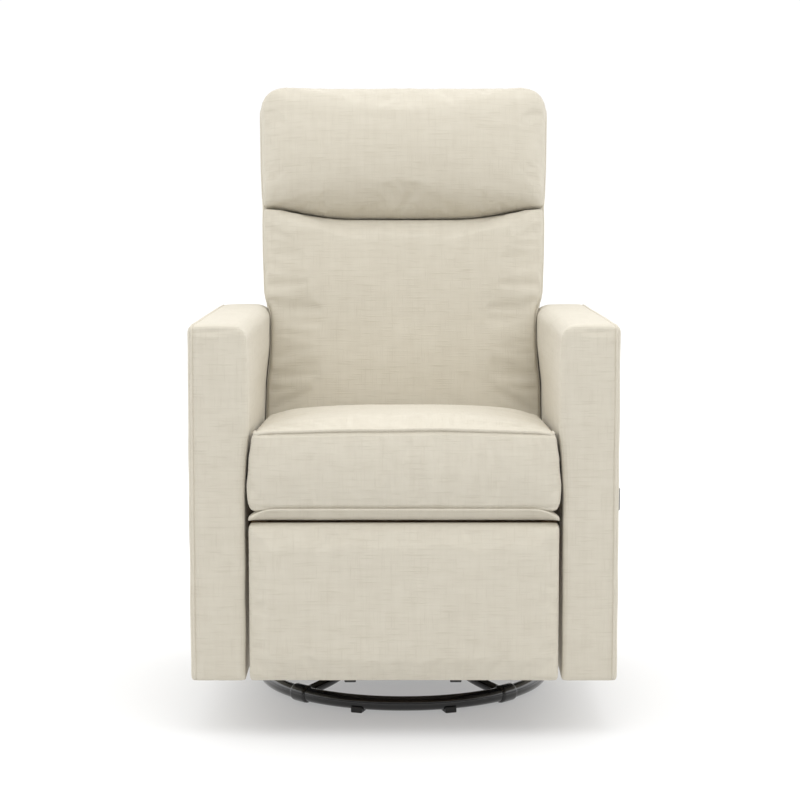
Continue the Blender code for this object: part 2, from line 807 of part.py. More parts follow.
def build_handle():
    """A finger cup in the arm's outer side, and the sprung paddle over it."""
    rim = 0.007
    cup = add_box(
        "handle_cup", (CUP_X[0], CUP_Y[0], CUP_Z[0]), (CUP_X[1] + 0.001, CUP_Y[1], CUP_Z[1]),
        BLACK_PLASTIC,
    )
    flange = add_box(
        "handle_flange",
        (CUP_X[1], CUP_Y[0] - rim, CUP_Z[0] - rim),
        (FLANGE_X, CUP_Y[1] + rim, CUP_Z[1] + rim),
        None, is_cutter=True,
    )
    hollow = add_box(
        "cup_hollow",
        (CUP_X[0] + CUP_WALL, CUP_Y[0] + CUP_WALL, CUP_Z[0] + CUP_WALL),
        (FLANGE_X + 0.01, CUP_Y[1] - CUP_WALL, CUP_Z[1] - CUP_WALL),
        None, is_cutter=True,
    )
    add_boolean(cup, flange, "UNION")
    add_boolean(cup, hollow, "DIFFERENCE")
    ride_on(cup, chair_axis)
    clearance = 0.0012
    low_z = CUP_Z[0] + CUP_WALL + clearance
    high_z = CUP_Z[1] - CUP_WALL - clearance
    barrel = 0.0035
    paddle_end = CUP_Y[1] - CUP_WALL - 0.006
    profile = arc((0, 0), barrel, 90, 360, 12)
    tip = (0.0055, paddle_end - HANDLE_HINGE_Y)
    outline = profile + [(0.0055, 0.012), tip, (0.0015, tip[1] + 0.001), (0.0, 0.012)]
    middle = (low_z + high_z) / 2
    place = Matrix.Translation((FLANGE_X - 0.0005, HANDLE_HINGE_Y, middle))
    paddle = add_plate("release_handle", [outline], high_z - low_z, BLACK_PLASTIC, place)
    ride_on(paddle, handle_axis)


# ---------------------------------------------------------------- assembly

build_ring()
for index, degrees in enumerate(PAD_ANGLES, 1):
    build_glide_pad(index, degrees)
for index, degrees in enumerate(BASE_ARM_ANGLES, 1):
    build_base_arm(index, degrees)
build_hub()
build_swivel_plate()
build_carriage()
build_glide_link("front", -GLIDE_PIVOT_Y, front_glide_axis)
build_glide_link("rear", GLIDE_PIVOT_Y, rear_glide_axis)
build_glide_rails()
build_mechanism_plates()
build_seat_box()
for index, x in enumerate((-0.13, 0.0, 0.13), 1):
    build_seat_spring(index, x)
build_seat_cushion()
for label, sign in SIDES:
    build_arm(label, sign)
build_rear_panel()
build_back_pads()
build_back_cover()
build_back_frame()
build_back_brackets()
build_footrest_links()
build_footrest_panel()
build_handle()
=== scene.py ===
import json
import math

import bmesh
import bpy
import numpy as np
from mathutils import Matrix, Vector, noise


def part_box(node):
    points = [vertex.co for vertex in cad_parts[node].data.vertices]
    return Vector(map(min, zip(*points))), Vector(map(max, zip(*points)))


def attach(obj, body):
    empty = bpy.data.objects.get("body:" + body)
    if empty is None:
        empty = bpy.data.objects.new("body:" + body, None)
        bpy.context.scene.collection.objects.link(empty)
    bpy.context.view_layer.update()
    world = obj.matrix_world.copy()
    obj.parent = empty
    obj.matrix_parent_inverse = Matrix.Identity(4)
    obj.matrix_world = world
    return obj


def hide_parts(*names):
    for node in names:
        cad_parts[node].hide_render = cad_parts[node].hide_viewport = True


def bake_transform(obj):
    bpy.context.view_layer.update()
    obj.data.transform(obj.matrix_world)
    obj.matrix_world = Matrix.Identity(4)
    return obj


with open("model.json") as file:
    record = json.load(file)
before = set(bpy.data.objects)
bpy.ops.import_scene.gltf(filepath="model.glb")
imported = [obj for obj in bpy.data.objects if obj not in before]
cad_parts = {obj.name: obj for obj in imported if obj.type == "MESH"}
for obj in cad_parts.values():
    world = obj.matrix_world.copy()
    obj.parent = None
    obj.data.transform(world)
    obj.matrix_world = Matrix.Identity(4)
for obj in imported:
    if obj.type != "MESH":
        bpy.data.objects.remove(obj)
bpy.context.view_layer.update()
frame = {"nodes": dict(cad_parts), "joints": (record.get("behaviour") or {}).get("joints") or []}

scene = bpy.context.scene


# ------------------------------------------------------------------ Swivel base: the ring
# One length of steel tube, rolled into a circle, butt-welded at the rear and painted gloss black.
# The weld is ground down and leaves a faint swelling.


def add_node(tree, kind, inputs=None, **settings):
    """Add a shader node, set its options, and join or set its inputs."""
    made = tree.nodes.new(kind)
    for option, value in settings.items():
        setattr(made, option, value)
    for key, value in (inputs or {}).items():
        socket = made.inputs[key]
        if isinstance(value, bpy.types.NodeSocket):
            tree.links.new(value, socket)
        else:
            socket.default_value = value
    return made


def start_group(name, inputs, outputs):
    """A shader node group with named inputs and outputs; each is (name, kind, first value)."""
    group = bpy.data.node_groups.new(name, "ShaderNodeTree")
    for label, kind, value in inputs:
        group.interface.new_socket(name=label, in_out="INPUT", socket_type=kind).default_value = value
    for label, kind in outputs:
        group.interface.new_socket(name=label, in_out="OUTPUT", socket_type=kind)
    return group, group.nodes.new("NodeGroupInput"), group.nodes.new("NodeGroupOutput")


def multiply(tree, a, b):
    return add_node(tree, "ShaderNodeMath", {0: a, 1: b}, operation="MULTIPLY").outputs[0]


def add(tree, a, b):
    return add_node(tree, "ShaderNodeMath", {0: a, 1: b}, operation="ADD").outputs[0]


def remap(tree, value, low, high, to_low=0.0, to_high=1.0):
    """Spread value from low..high to to_low..to_high, and stop at the ends."""
    made = add_node(
        tree,
        "ShaderNodeMapRange",
        {"Value": value, "From Min": low, "From Max": high, "To Min": to_low, "To Max": to_high},
    )
    return made.outputs["Result"]


def mix_colors(tree, factor, a, b):
    made = add_node(tree, "ShaderNodeMix", data_type="RGBA")
    for key, value in ((0, factor), (6, a), (7, b)):
        if isinstance(value, bpy.types.NodeSocket):
            tree.links.new(value, made.inputs[key])
        else:
            made.inputs[key].default_value = value
    return made.outputs[2]


def new_material(name):
    """A material with one Principled BSDF, and its node tree."""
    material = bpy.data.materials.new(name)
    material.use_nodes = True
    tree = material.node_tree
    return material, tree, tree.nodes["Principled BSDF"]


def set_bump(tree, shader, height, distance, strength=1.0):
    bump = add_node(
        tree, "ShaderNodeBump", {"Height": height, "Distance": distance, "Strength": strength}
    )
    tree.links.new(bump.outputs["Normal"], shader.inputs["Normal"])


# Dust and rub on hard finishes: how far a surface has dulled, and a fine ripple.
WORN, worn_in, worn_out = start_group(
    "worn_finish",
    [
        ("Clean", "NodeSocketColor", (0.02, 0.02, 0.02, 1)),
        ("Dusty", "NodeSocketColor", (0.1, 0.1, 0.1, 1)),
        ("Gloss", "NodeSocketFloat", 0.25),
        ("Dull", "NodeSocketFloat", 0.5),
        ("Ripple Scale", "NodeSocketFloat", 300.0),
    ],
    [("Color", "NodeSocketColor"), ("Roughness", "NodeSocketFloat"), ("Height", "NodeSocketFloat")],
)
place = add_node(WORN, "ShaderNodeTexCoord").outputs["Object"]
patches = add_node(WORN, "ShaderNodeTexNoise", {"Vector": place, "Scale": 14.0, "Detail": 4.0})
dust = remap(WORN, patches.outputs[0], 0.5, 0.8)
ripple = add_node(
    WORN, "ShaderNodeTexNoise",
    {"Vector": place, "Scale": worn_in.outputs["Ripple Scale"], "Detail": 1.0},
)
dusted = mix_colors(
    WORN, multiply(WORN, dust, 0.5), worn_in.outputs["Clean"], worn_in.outputs["Dusty"]
)
WORN.links.new(dusted, worn_out.inputs["Color"])
dulled = add_node(
    WORN, "ShaderNodeMapRange",
    {"Value": dust, "To Min": worn_in.outputs["Gloss"], "To Max": worn_in.outputs["Dull"]},
)
WORN.links.new(dulled.outputs["Result"], worn_out.inputs["Roughness"])
WORN.links.new(ripple.outputs[0], worn_out.inputs["Height"])


def hard_finish(name, clean, dusty, gloss, dull, ripple_scale, depth, metallic=0.0):
    """A painted, plated or moulded finish with its own wear."""
    material, tree, shader = new_material(name)
    worn = add_node(tree, "ShaderNodeGroup", node_tree=WORN)
    for key, value in (
        ("Clean", (*clean, 1)), ("Dusty", (*dusty, 1)), ("Gloss", gloss), ("Dull", dull),
        ("Ripple Scale", ripple_scale),
    ):
        worn.inputs[key].default_value = value
    tree.links.new(worn.outputs["Color"], shader.inputs["Base Color"])
    tree.links.new(worn.outputs["Roughness"], shader.inputs["Roughness"])
    shader.inputs["Metallic"].default_value = metallic
    set_bump(tree, shader, worn.outputs["Height"], depth)
    return material


BLACK_PAINT = hard_finish(
    "gloss_black_paint", (0.006, 0.006, 0.007), (0.014, 0.0137, 0.013), 0.14, 0.28, 260.0, 0.00004
)
paint_shader = BLACK_PAINT.node_tree.nodes["Principled BSDF"]
paint_shader.inputs["Coat Weight"].default_value = 0.6
paint_shader.inputs["Coat Roughness"].default_value = 0.12


def new_piece(name, mesh, material):
    """Link a mesh as a smooth piece with its material."""
    piece = bpy.data.objects.new(name, mesh)
    scene.collection.objects.link(piece)
    mesh.materials.clear()
    mesh.materials.append(material)
    mesh.shade_smooth()
    return piece


WELT_GIRTH = 0.006


def sweep(name, route, radius, sides, material, closed=False, weave=False):
    """A round bar along a route. radius is one number, or a function of how far along, 0 to 1.
    With weave, cloth is laid on it: WELT_GIRTH of it round the bar, its length along it."""
    points = [Vector(p) for p in route]
    count = len(points)
    form = bmesh.new()
    layer = form.loops.layers.uv.new("cloth") if weave else None
    rings = []
    side_way = None
    run = 0.0
    lengths = []
    for i, point in enumerate(points):
        before = points[i - 1] if i or closed else point
        after = points[(i + 1) % count] if i < count - 1 or closed else point
        along = (after - before).normalized()
        if side_way is None:
            spare = Vector((0, 0, 1)) if abs(along.z) < 0.9 else Vector((1, 0, 0))
            side_way = along.cross(spare).normalized()
        side_way = (side_way - along * side_way.dot(along)).normalized()
        up_way = along.cross(side_way)
        r = radius(i / (count - 1)) if callable(radius) else radius
        if i:
            run += (point - points[i - 1]).length
        lengths.append(run)
        ring = []
        for k in range(sides):
            turn = 2 * math.pi * k / sides
            outward = math.cos(turn) * side_way + math.sin(turn) * up_way
            ring.append(form.verts.new(point + r * outward))
        rings.append(ring)
    for i in range(count if closed else count - 1):
        a, b = rings[i], rings[(i + 1) % count]
        for k in range(sides):
            face = form.faces.new((a[k], a[(k + 1) % sides], b[(k + 1) % sides], b[k]))
            if layer:
                ends = (lengths[i], lengths[i + 1] if i + 1 < count else run)
                corners = ((k, 0), (k + 1, 0), (k + 1, 1), (k, 1))
                for loop, (step, end) in zip(face.loops, corners):
                    loop[layer].uv = (step * WELT_GIRTH / sides, ends[end])
    if not closed:
        form.faces.new(list(reversed(rings[0])))
        form.faces.new(rings[-1])
    bmesh.ops.recalc_face_normals(form, faces=form.faces)
    mesh = bpy.data.meshes.new(name)
    form.to_mesh(mesh)
    form.free()
    return new_piece(name, mesh, material)


ring_low, ring_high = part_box("base_ring")
RING_TUBE = (ring_high.z - ring_low.z) / 2
RING_RADIUS = ring_high.x - RING_TUBE
RING_Z = ring_low.z + RING_TUBE
RING_STEPS = 180
WELD_STEP = RING_STEPS // 4
WELD_SWELLING = 0.0003
WELD_WIDTH = 0.8


def ring_point(step):
    turn = 2 * math.pi * step / RING_STEPS
    return (RING_RADIUS * math.cos(turn), RING_RADIUS * math.sin(turn), RING_Z)


def ring_thickness(share):
    from_weld = (share * (RING_STEPS - 1) - WELD_STEP) / WELD_WIDTH
    return RING_TUBE + WELD_SWELLING * math.exp(-from_weld * from_weld)


ring = sweep(
    "ring_tube", [ring_point(i) for i in range(RING_STEPS)], ring_thickness, 28, BLACK_PAINT,
    closed=True,
)
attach(ring, "base")
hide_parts("base_ring")


# ------------------------------------------------------------------ Swivel base: glide pads
# Moulded black nylon blocks that snap over the ring from below and slide on the floor.
# Each is riveted through its own foot, so it stays put when the chair is dragged.

NYLON = hard_finish(
    "black_nylon", (0.014, 0.014, 0.014), (0.05, 0.048, 0.045), 0.42, 0.6, 700.0, 0.00008
)


def finish_node(name, material):
    """Give a kept part of the frame its material."""
    node = frame["nodes"][name]
    node.data.materials.clear()
    node.data.materials.append(material)


for number in range(1, 7):
    finish_node(f"glide_pad_{number}", NYLON)


# ------------------------------------------------------------------ Swivel base: arms and hub
# Four bent tubes carry the hub. Each ends in a pressed sleeve that is shrunk round the ring.
# Tube, sleeve and hub are one welded spider, painted with the ring.

BASE_ARM_ANGLES = (-135, -45, 45, 135)
SLEEVE_HALF = 0.017
SLEEVE_WALL = 0.0030
SLEEVE_STEPS = 16
ARM_TUBE = 0.0095
HUB_REACH = 0.0503
HUB_HEIGHT = 0.0455


def smooth_route(corners, steps):
    """Points along a soft curve through the corners (Catmull-Rom)."""
    p = [Vector(c) for c in corners]
    p = [2 * p[0] - p[1]] + p + [2 * p[-1] - p[-2]]
    route = []
    for i in range(1, len(p) - 2):
        for k in range(steps):
            t = k / steps
            route.append(
                0.5 * (
                    2 * p[i] + (p[i + 1] - p[i - 1]) * t
                    + (2 * p[i - 1] - 5 * p[i] + 4 * p[i + 1] - p[i + 2]) * t * t
                    + (3 * p[i] - p[i - 1] - 3 * p[i + 1] + p[i + 2]) * t ** 3
                )
            )
    return route + [p[-2]]


for number, degrees in enumerate(BASE_ARM_ANGLES, 1):
    turn = math.radians(degrees)
    out = Vector((math.cos(turn), math.sin(turn), 0))
    lift = Vector((0, 0, 1))
    tube = sweep(
        f"base_tube_{number}",
        smooth_route(
            [
                out * HUB_REACH + lift * HUB_HEIGHT, out * 0.10 + lift * HUB_HEIGHT,
                out * 0.15 + lift * 0.036, out * 0.19 + lift * 0.026,
                out * (RING_RADIUS - RING_TUBE) + lift * RING_Z,
            ],
            8,
        ),
        ARM_TUBE, 24, BLACK_PAINT,
    )
    half_turn = SLEEVE_HALF / RING_RADIUS
    arc = [turn + half_turn * (2 * k / SLEEVE_STEPS - 1) for k in range(SLEEVE_STEPS + 1)]
    sleeve = sweep(
        f"ring_sleeve_{number}",
        [(RING_RADIUS * math.cos(a), RING_RADIUS * math.sin(a), RING_Z) for a in arc],
        lambda share: RING_TUBE + SLEEVE_WALL * min(1.0, 8 * min(share, 1 - share) + 0.35),
        28, BLACK_PAINT,
    )
    for piece in (tube, sleeve):
        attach(piece, "base")
        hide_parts(f"base_arm_{number}")

finish_node("base_hub", BLACK_PAINT)


# ------------------------------------------------------------------ Ball race, plates, links and pivots
# Pressed steel parts, bright zinc where they turn and painted where they only carry.
# They are kept as the frame has them: they sit in the dark under the seat.

ZINC = hard_finish(
    "zinc_plate", (0.52, 0.53, 0.54), (0.34, 0.33, 0.30), 0.28, 0.5, 500.0, 0.00004, metallic=1.0
)
for name in ("ball_race", "pivot_bolt"):
    finish_node(name, ZINC)
for side in ("left", "right"):
    for stem in (
        "front_glide_link", "rear_glide_link", "back_bracket", "footrest_lower_link",
        "footrest_upper_link", "footrest_bracket",
    ):
        finish_node(f"{stem}_{side}", ZINC)
    for stem in ("carriage_side", "glide_rail", "mechanism_plate"):
        finish_node(f"{stem}_{side}", BLACK_PAINT)
for name in ("swivel_plate", "carriage_front_rail", "carriage_rear_rail", "footrest_cross_tube"):
    finish_node(name, BLACK_PAINT)


# ------------------------------------------------------------------ Seat box, back frame and boards
# Sawn hardwood rails, glued and stapled, and plywood boards cut to shape.
# Grain runs along each rail; the boards show the broad grain of rotary-cut veneer.

GRAIN, grain_in, grain_out = start_group(
    "wood_grain",
    [
        ("Place", "NodeSocketVector", (0, 0, 0)),
        ("Early", "NodeSocketColor", (0.6, 0.42, 0.25, 1)),
        ("Late", "NodeSocketColor", (0.4, 0.26, 0.14, 1)),
        ("Ring Scale", "NodeSocketFloat", 60.0),
    ],
    [("Color", "NodeSocketColor"), ("Height", "NodeSocketFloat")],
)
waver = add_node(GRAIN, "ShaderNodeTexNoise", {"Vector": grain_in.outputs["Place"], "Scale": 3.0})
wavered = add_node(
    GRAIN, "ShaderNodeVectorMath",
    {0: grain_in.outputs["Place"], 1: (1, 1, 1), 2: waver.outputs["Color"]}, operation="MULTIPLY_ADD",
)
rings = add_node(
    GRAIN, "ShaderNodeTexNoise",
    {"Vector": wavered.outputs[0], "Scale": grain_in.outputs["Ring Scale"], "Detail": 3.0},
)
pores = add_node(
    GRAIN, "ShaderNodeTexNoise", {"Vector": grain_in.outputs["Place"], "Scale": 240.0, "Detail": 2.0}
)
late = remap(GRAIN, rings.outputs[0], 0.35, 0.65)
GRAIN.links.new(
    mix_colors(GRAIN, late, grain_in.outputs["Early"], grain_in.outputs["Late"]),
    grain_out.inputs["Color"],
)
GRAIN.links.new(
    add(GRAIN, multiply(GRAIN, late, 0.5), multiply(GRAIN, pores.outputs[0], 0.5)),
    grain_out.inputs["Height"],
)


def wood_finish(name, early, late_color, stretch, ring_scale):
    """Raw timber: stretch squeezes the grain so that it runs along the piece."""
    material, tree, shader = new_material(name)
    spot = add_node(tree, "ShaderNodeTexCoord").outputs["Object"]
    mapped = add_node(tree, "ShaderNodeMapping", {"Vector": spot, "Scale": stretch})
    grain = add_node(tree, "ShaderNodeGroup", node_tree=GRAIN)
    tree.links.new(mapped.outputs[0], grain.inputs["Place"])
    grain.inputs["Early"].default_value = (*early, 1)
    grain.inputs["Late"].default_value = (*late_color, 1)
    grain.inputs["Ring Scale"].default_value = ring_scale
    tree.links.new(grain.outputs["Color"], shader.inputs["Base Color"])
    shader.inputs["Roughness"].default_value = 0.68
    set_bump(tree, shader, grain.outputs["Height"], 0.0003)
    return material


BEECH = ((0.60, 0.43, 0.27), (0.44, 0.29, 0.17))
ACROSS_BEAM = wood_finish("beech_across", *BEECH, (0.06, 1, 1), 90.0)
ALONG_BEAM = wood_finish("beech_along", *BEECH, (1, 0.06, 1), 90.0)
UPRIGHT_BEAM = wood_finish("beech_upright", *BEECH, (1, 1, 0.06), 90.0)
PLYWOOD = wood_finish("plywood", (0.66, 0.50, 0.33), (0.52, 0.37, 0.23), (0.4, 0.4, 0.12), 26.0)

for name in ("seat_front_rail", "seat_rear_rail", "back_bottom_rail", "back_top_rail"):
    finish_node(name, ACROSS_BEAM)
for side in ("left", "right"):
    finish_node(f"seat_rail_{side}", ALONG_BEAM)
    finish_node(f"back_stile_{side}", UPRIGHT_BEAM)
    finish_node(f"arm_board_{side}", PLYWOOD)
finish_node("footrest_board", PLYWOOD)


# ------------------------------------------------------------------ Seat springs
# Zigzag springs of oil-tempered wire, stretched from the front rail to the rear rail.
# The wire is blue-black from its heat treatment.

TEMPERED = hard_finish(
    "tempered_wire", (0.06, 0.062, 0.07), (0.12, 0.10, 0.08), 0.3, 0.55, 900.0, 0.00003, metallic=1.0
)
for number in (1, 2, 3):
    finish_node(f"seat_spring_{number}", TEMPERED)


# ------------------------------------------------------------------ Arms
# Each arm is a plywood board in foam and wadding, under a cover of four pieces: a front panel,
# an inner and top band, an outer side panel and a back. A welt joins the outer panel to the rest.

# The cloth, from which every cover, pad and welt is cut: a plain-woven cream polyester that looks
# like linen, with uneven yarns that give fine slubs both ways.

PALE_YARN = (0.642, 0.601, 0.508, 1)
DARK_YARN = (0.492, 0.446, 0.357, 1)
YARN_PITCH = 0.0013
LINEN_WEAVE, weave_in, weave_out = start_group(
    "linen_weave",
    [
        ("Cloth", "NodeSocketVector", (0, 0, 0)),
        ("Pale Yarn", "NodeSocketColor", PALE_YARN),
        ("Dark Yarn", "NodeSocketColor", DARK_YARN),
        ("Yarn Pitch", "NodeSocketFloat", YARN_PITCH),
        ("Slubs", "NodeSocketFloat", 1.0),
    ],
    [("Color", "NodeSocketColor"), ("Height", "NodeSocketFloat"), ("Roughness", "NodeSocketFloat")],
)


def yarn_wave(tree, distance, pitch):
    """The rise and fall of one set of yarns, 0 to 1."""
    turns = add_node(tree, "ShaderNodeMath", {0: distance, 1: pitch}, operation="DIVIDE").outputs[0]
    wave = add_node(tree, "ShaderNodeMath", {0: multiply(tree, turns, 2 * math.pi)}, operation="SINE")
    return remap(tree, wave.outputs[0], -1.0, 1.0)


def streaks(tree, cloth, stretch, low, high):
    """Long thin patches of thicker yarn."""
    mapped = add_node(tree, "ShaderNodeMapping", {"Vector": cloth, "Scale": stretch})
    made = add_node(
        tree, "ShaderNodeTexNoise", {"Vector": mapped.outputs[0], "Scale": 1.0, "Detail": 1.5}
    )
    return remap(tree, made.outputs[0], low, high)


cloth_spot = weave_in.outputs["Cloth"]
cloth_xyz = add_node(LINEN_WEAVE, "ShaderNodeSeparateXYZ", {0: cloth_spot})
warp = yarn_wave(LINEN_WEAVE, cloth_xyz.outputs[0], weave_in.outputs["Yarn Pitch"])
weft = yarn_wave(LINEN_WEAVE, cloth_xyz.outputs[1], weave_in.outputs["Yarn Pitch"])
weft_slubs = streaks(LINEN_WEAVE, cloth_spot, (22, 420, 1), 0.56, 0.72)
warp_slubs = streaks(LINEN_WEAVE, cloth_spot, (420, 22, 1), 0.58, 0.74)
bands = streaks(LINEN_WEAVE, cloth_spot, (7, 120, 1), 0.4, 0.7)
cross_bands = streaks(LINEN_WEAVE, cloth_spot, (120, 7, 1), 0.4, 0.7)
mottle = streaks(LINEN_WEAVE, cloth_spot, (34, 34, 1), 0.35, 0.65)
slub = add_node(
    LINEN_WEAVE, "ShaderNodeMath",
    {0: weft_slubs, 1: multiply(LINEN_WEAVE, warp_slubs, 0.7)},
    operation="MAXIMUM",
).outputs[0]
slub = multiply(LINEN_WEAVE, slub, weave_in.outputs["Slubs"])
weave = multiply(LINEN_WEAVE, add(LINEN_WEAVE, warp, weft), 0.5)
shade = add(
    LINEN_WEAVE,
    add(LINEN_WEAVE, multiply(LINEN_WEAVE, slub, 0.30), multiply(LINEN_WEAVE, bands, 0.11)),
    add(
        LINEN_WEAVE,
        multiply(LINEN_WEAVE, cross_bands, 0.08),
        add(LINEN_WEAVE, multiply(LINEN_WEAVE, mottle, 0.11), multiply(LINEN_WEAVE, weave, 0.10)),
    ),
)
LINEN_WEAVE.links.new(
    mix_colors(LINEN_WEAVE, shade, weave_in.outputs["Pale Yarn"], weave_in.outputs["Dark Yarn"]),
    weave_out.inputs["Color"],
)
LINEN_WEAVE.links.new(
    add(LINEN_WEAVE, multiply(LINEN_WEAVE, weave, 0.45), multiply(LINEN_WEAVE, slub, 0.6)),
    weave_out.inputs["Height"],
)
LINEN_WEAVE.links.new(remap(LINEN_WEAVE, slub, 0, 1, 0.9, 0.78), weave_out.inputs["Roughness"])


def linen(name, slubs=1.0):
    """The cloth with more or fewer slubs in its yarns."""
    material, tree, shader = new_material(name)
    cloth = add_node(tree, "ShaderNodeUVMap", uv_map="cloth").outputs[0]
    woven = add_node(tree, "ShaderNodeGroup", node_tree=LINEN_WEAVE)
    tree.links.new(cloth, woven.inputs["Cloth"])
    woven.inputs["Pale Yarn"].default_value = PALE_YARN
    woven.inputs["Dark Yarn"].default_value = DARK_YARN
    woven.inputs["Slubs"].default_value = slubs
    tree.links.new(woven.outputs["Color"], shader.inputs["Base Color"])
    tree.links.new(woven.outputs["Roughness"], shader.inputs["Roughness"])
    shader.inputs["Specular IOR Level"].default_value = 0.25
    shader.inputs["Sheen Weight"].default_value = 0.18
    shader.inputs["Sheen Roughness"].default_value = 0.5
    set_bump(tree, shader, woven.outputs["Height"], 0.00035, 0.9)
    return material


LINEN = linen("cream_linen")
WELT_LINEN = linen("cream_welt", 0.5)


def read_places(mesh):
    places = np.empty(len(mesh.vertices) * 3, np.float64)
    mesh.vertices.foreach_get("co", places)
    return places.reshape(-1, 3)


def write_places(mesh, places):
    mesh.vertices.foreach_set("co", np.ascontiguousarray(places, np.float32).ravel())
    mesh.update()


def lay_cloth(piece):
    """Lay the cloth's two directions on each face, in metres, along the axes it faces least."""
    mesh = piece.data
    normals = np.empty(len(mesh.polygons) * 3, np.float32)
    mesh.polygons.foreach_get("normal", normals)
    normals = normals.reshape(-1, 3)
    sizes = np.empty(len(mesh.polygons), np.int32)
    mesh.polygons.foreach_get("loop_total", sizes)
    corners = np.empty(len(mesh.loops), np.int32)
    mesh.loops.foreach_get("vertex_index", corners)
    facing = np.repeat(np.abs(normals).argmax(1), sizes)
    first = np.array([1, 0, 0])[facing]
    second = np.array([2, 2, 1])[facing]
    spots = read_places(mesh)[corners]
    rows = np.arange(len(corners))
    laid = np.stack([spots[rows, first], spots[rows, second]], 1)
    layer = mesh.uv_layers.get("cloth") or mesh.uv_layers.new(name="cloth")
    layer.data.foreach_set("uv", laid.astype(np.float32).ravel())


def sew_welt(name, route, body, radius):
    """A cord wrapped in bias-cut cloth and sewn into a seam."""
    welt = sweep(name, route, radius, 12, WELT_LINEN, weave=True)
    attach(welt, body)


def bake(piece):
    """Turn the piece's modifiers into plain mesh."""
    bpy.context.view_layer.update()
    graph = bpy.context.evaluated_depsgraph_get()
    mesh = bpy.data.meshes.new_from_object(piece.evaluated_get(graph))
    piece.modifiers.clear()
    piece.data = mesh
    return piece


def remesh(piece, size, smoothing):
    """Rebuild the piece as an even net of faces."""
    net = piece.modifiers.new("even_net", "REMESH")
    net.mode = "VOXEL"
    net.voxel_size = size
    soften = piece.modifiers.new("even_skin", "SMOOTH")
    soften.factor = 0.5
    soften.iterations = smoothing
    return bake(piece)


def dent(piece, change):
    """Move each point by change(places), in metres."""
    places = read_places(piece.data)
    write_places(piece.data, places + change(places))


def near(distance, width):
    """1 at a distance of 0, fading smoothly to 0 at width."""
    t = np.clip(1 - np.abs(distance) / width, 0, 1)
    return t * t * (3 - 2 * t)


def ripples(places, scale, seed):
    """Soft unevenness of stuffing under cloth, -1 to 1, the same each run."""
    offset = Vector((seed, seed * 0.7, seed * 1.3))
    return np.array([noise.noise(Vector(p) * scale + offset) for p in places])


def lay_on(route, pieces, lift):
    """Bring each point of a route onto the nearest piece's skin, and lift it off by a given amount."""
    laid = []
    for point in map(Vector, route):
        found = [piece.closest_point_on_mesh(point) for piece in pieces]
        _, place, normal, _ = min(found, key=lambda hit: (hit[1] - point).length)
        laid.append(place + normal * lift)
    for _ in range(2):
        laid = [laid[0]] + [
            (a + 2 * b + c) / 4 for a, b, c in zip(laid, laid[1:], laid[2:])
        ] + [laid[-1]]
    return laid


def soft_box(name, corner, widths, material):
    """A block with rounded edges: corner places each corner, and widths rounds each kind of edge."""
    form = bmesh.new()
    bmesh.ops.create_cube(form, size=2.0)
    layer = form.edges.layers.float.new("bevel_weight_edge")
    kinds = {}
    for edge in form.edges:
        middle = (edge.verts[0].co + edge.verts[1].co) / 2
        kinds[edge] = tuple(round(c) for c in middle)
    for vert in form.verts:
        vert.co = corner(*(round(c) for c in vert.co))
    largest = max(widths.values(), default=0.001)
    for edge, kind in kinds.items():
        edge[layer] = widths.get(kind, 0.0) / largest
    bmesh.ops.recalc_face_normals(form, faces=form.faces)
    mesh = bpy.data.meshes.new(name)
    form.to_mesh(mesh)
    form.free()
    piece = new_piece(name, mesh, material)
    bevel = piece.modifiers.new("round", "BEVEL")
    bevel.width = largest
    bevel.segments = 6
    bevel.limit_method = "WEIGHT"
    return piece


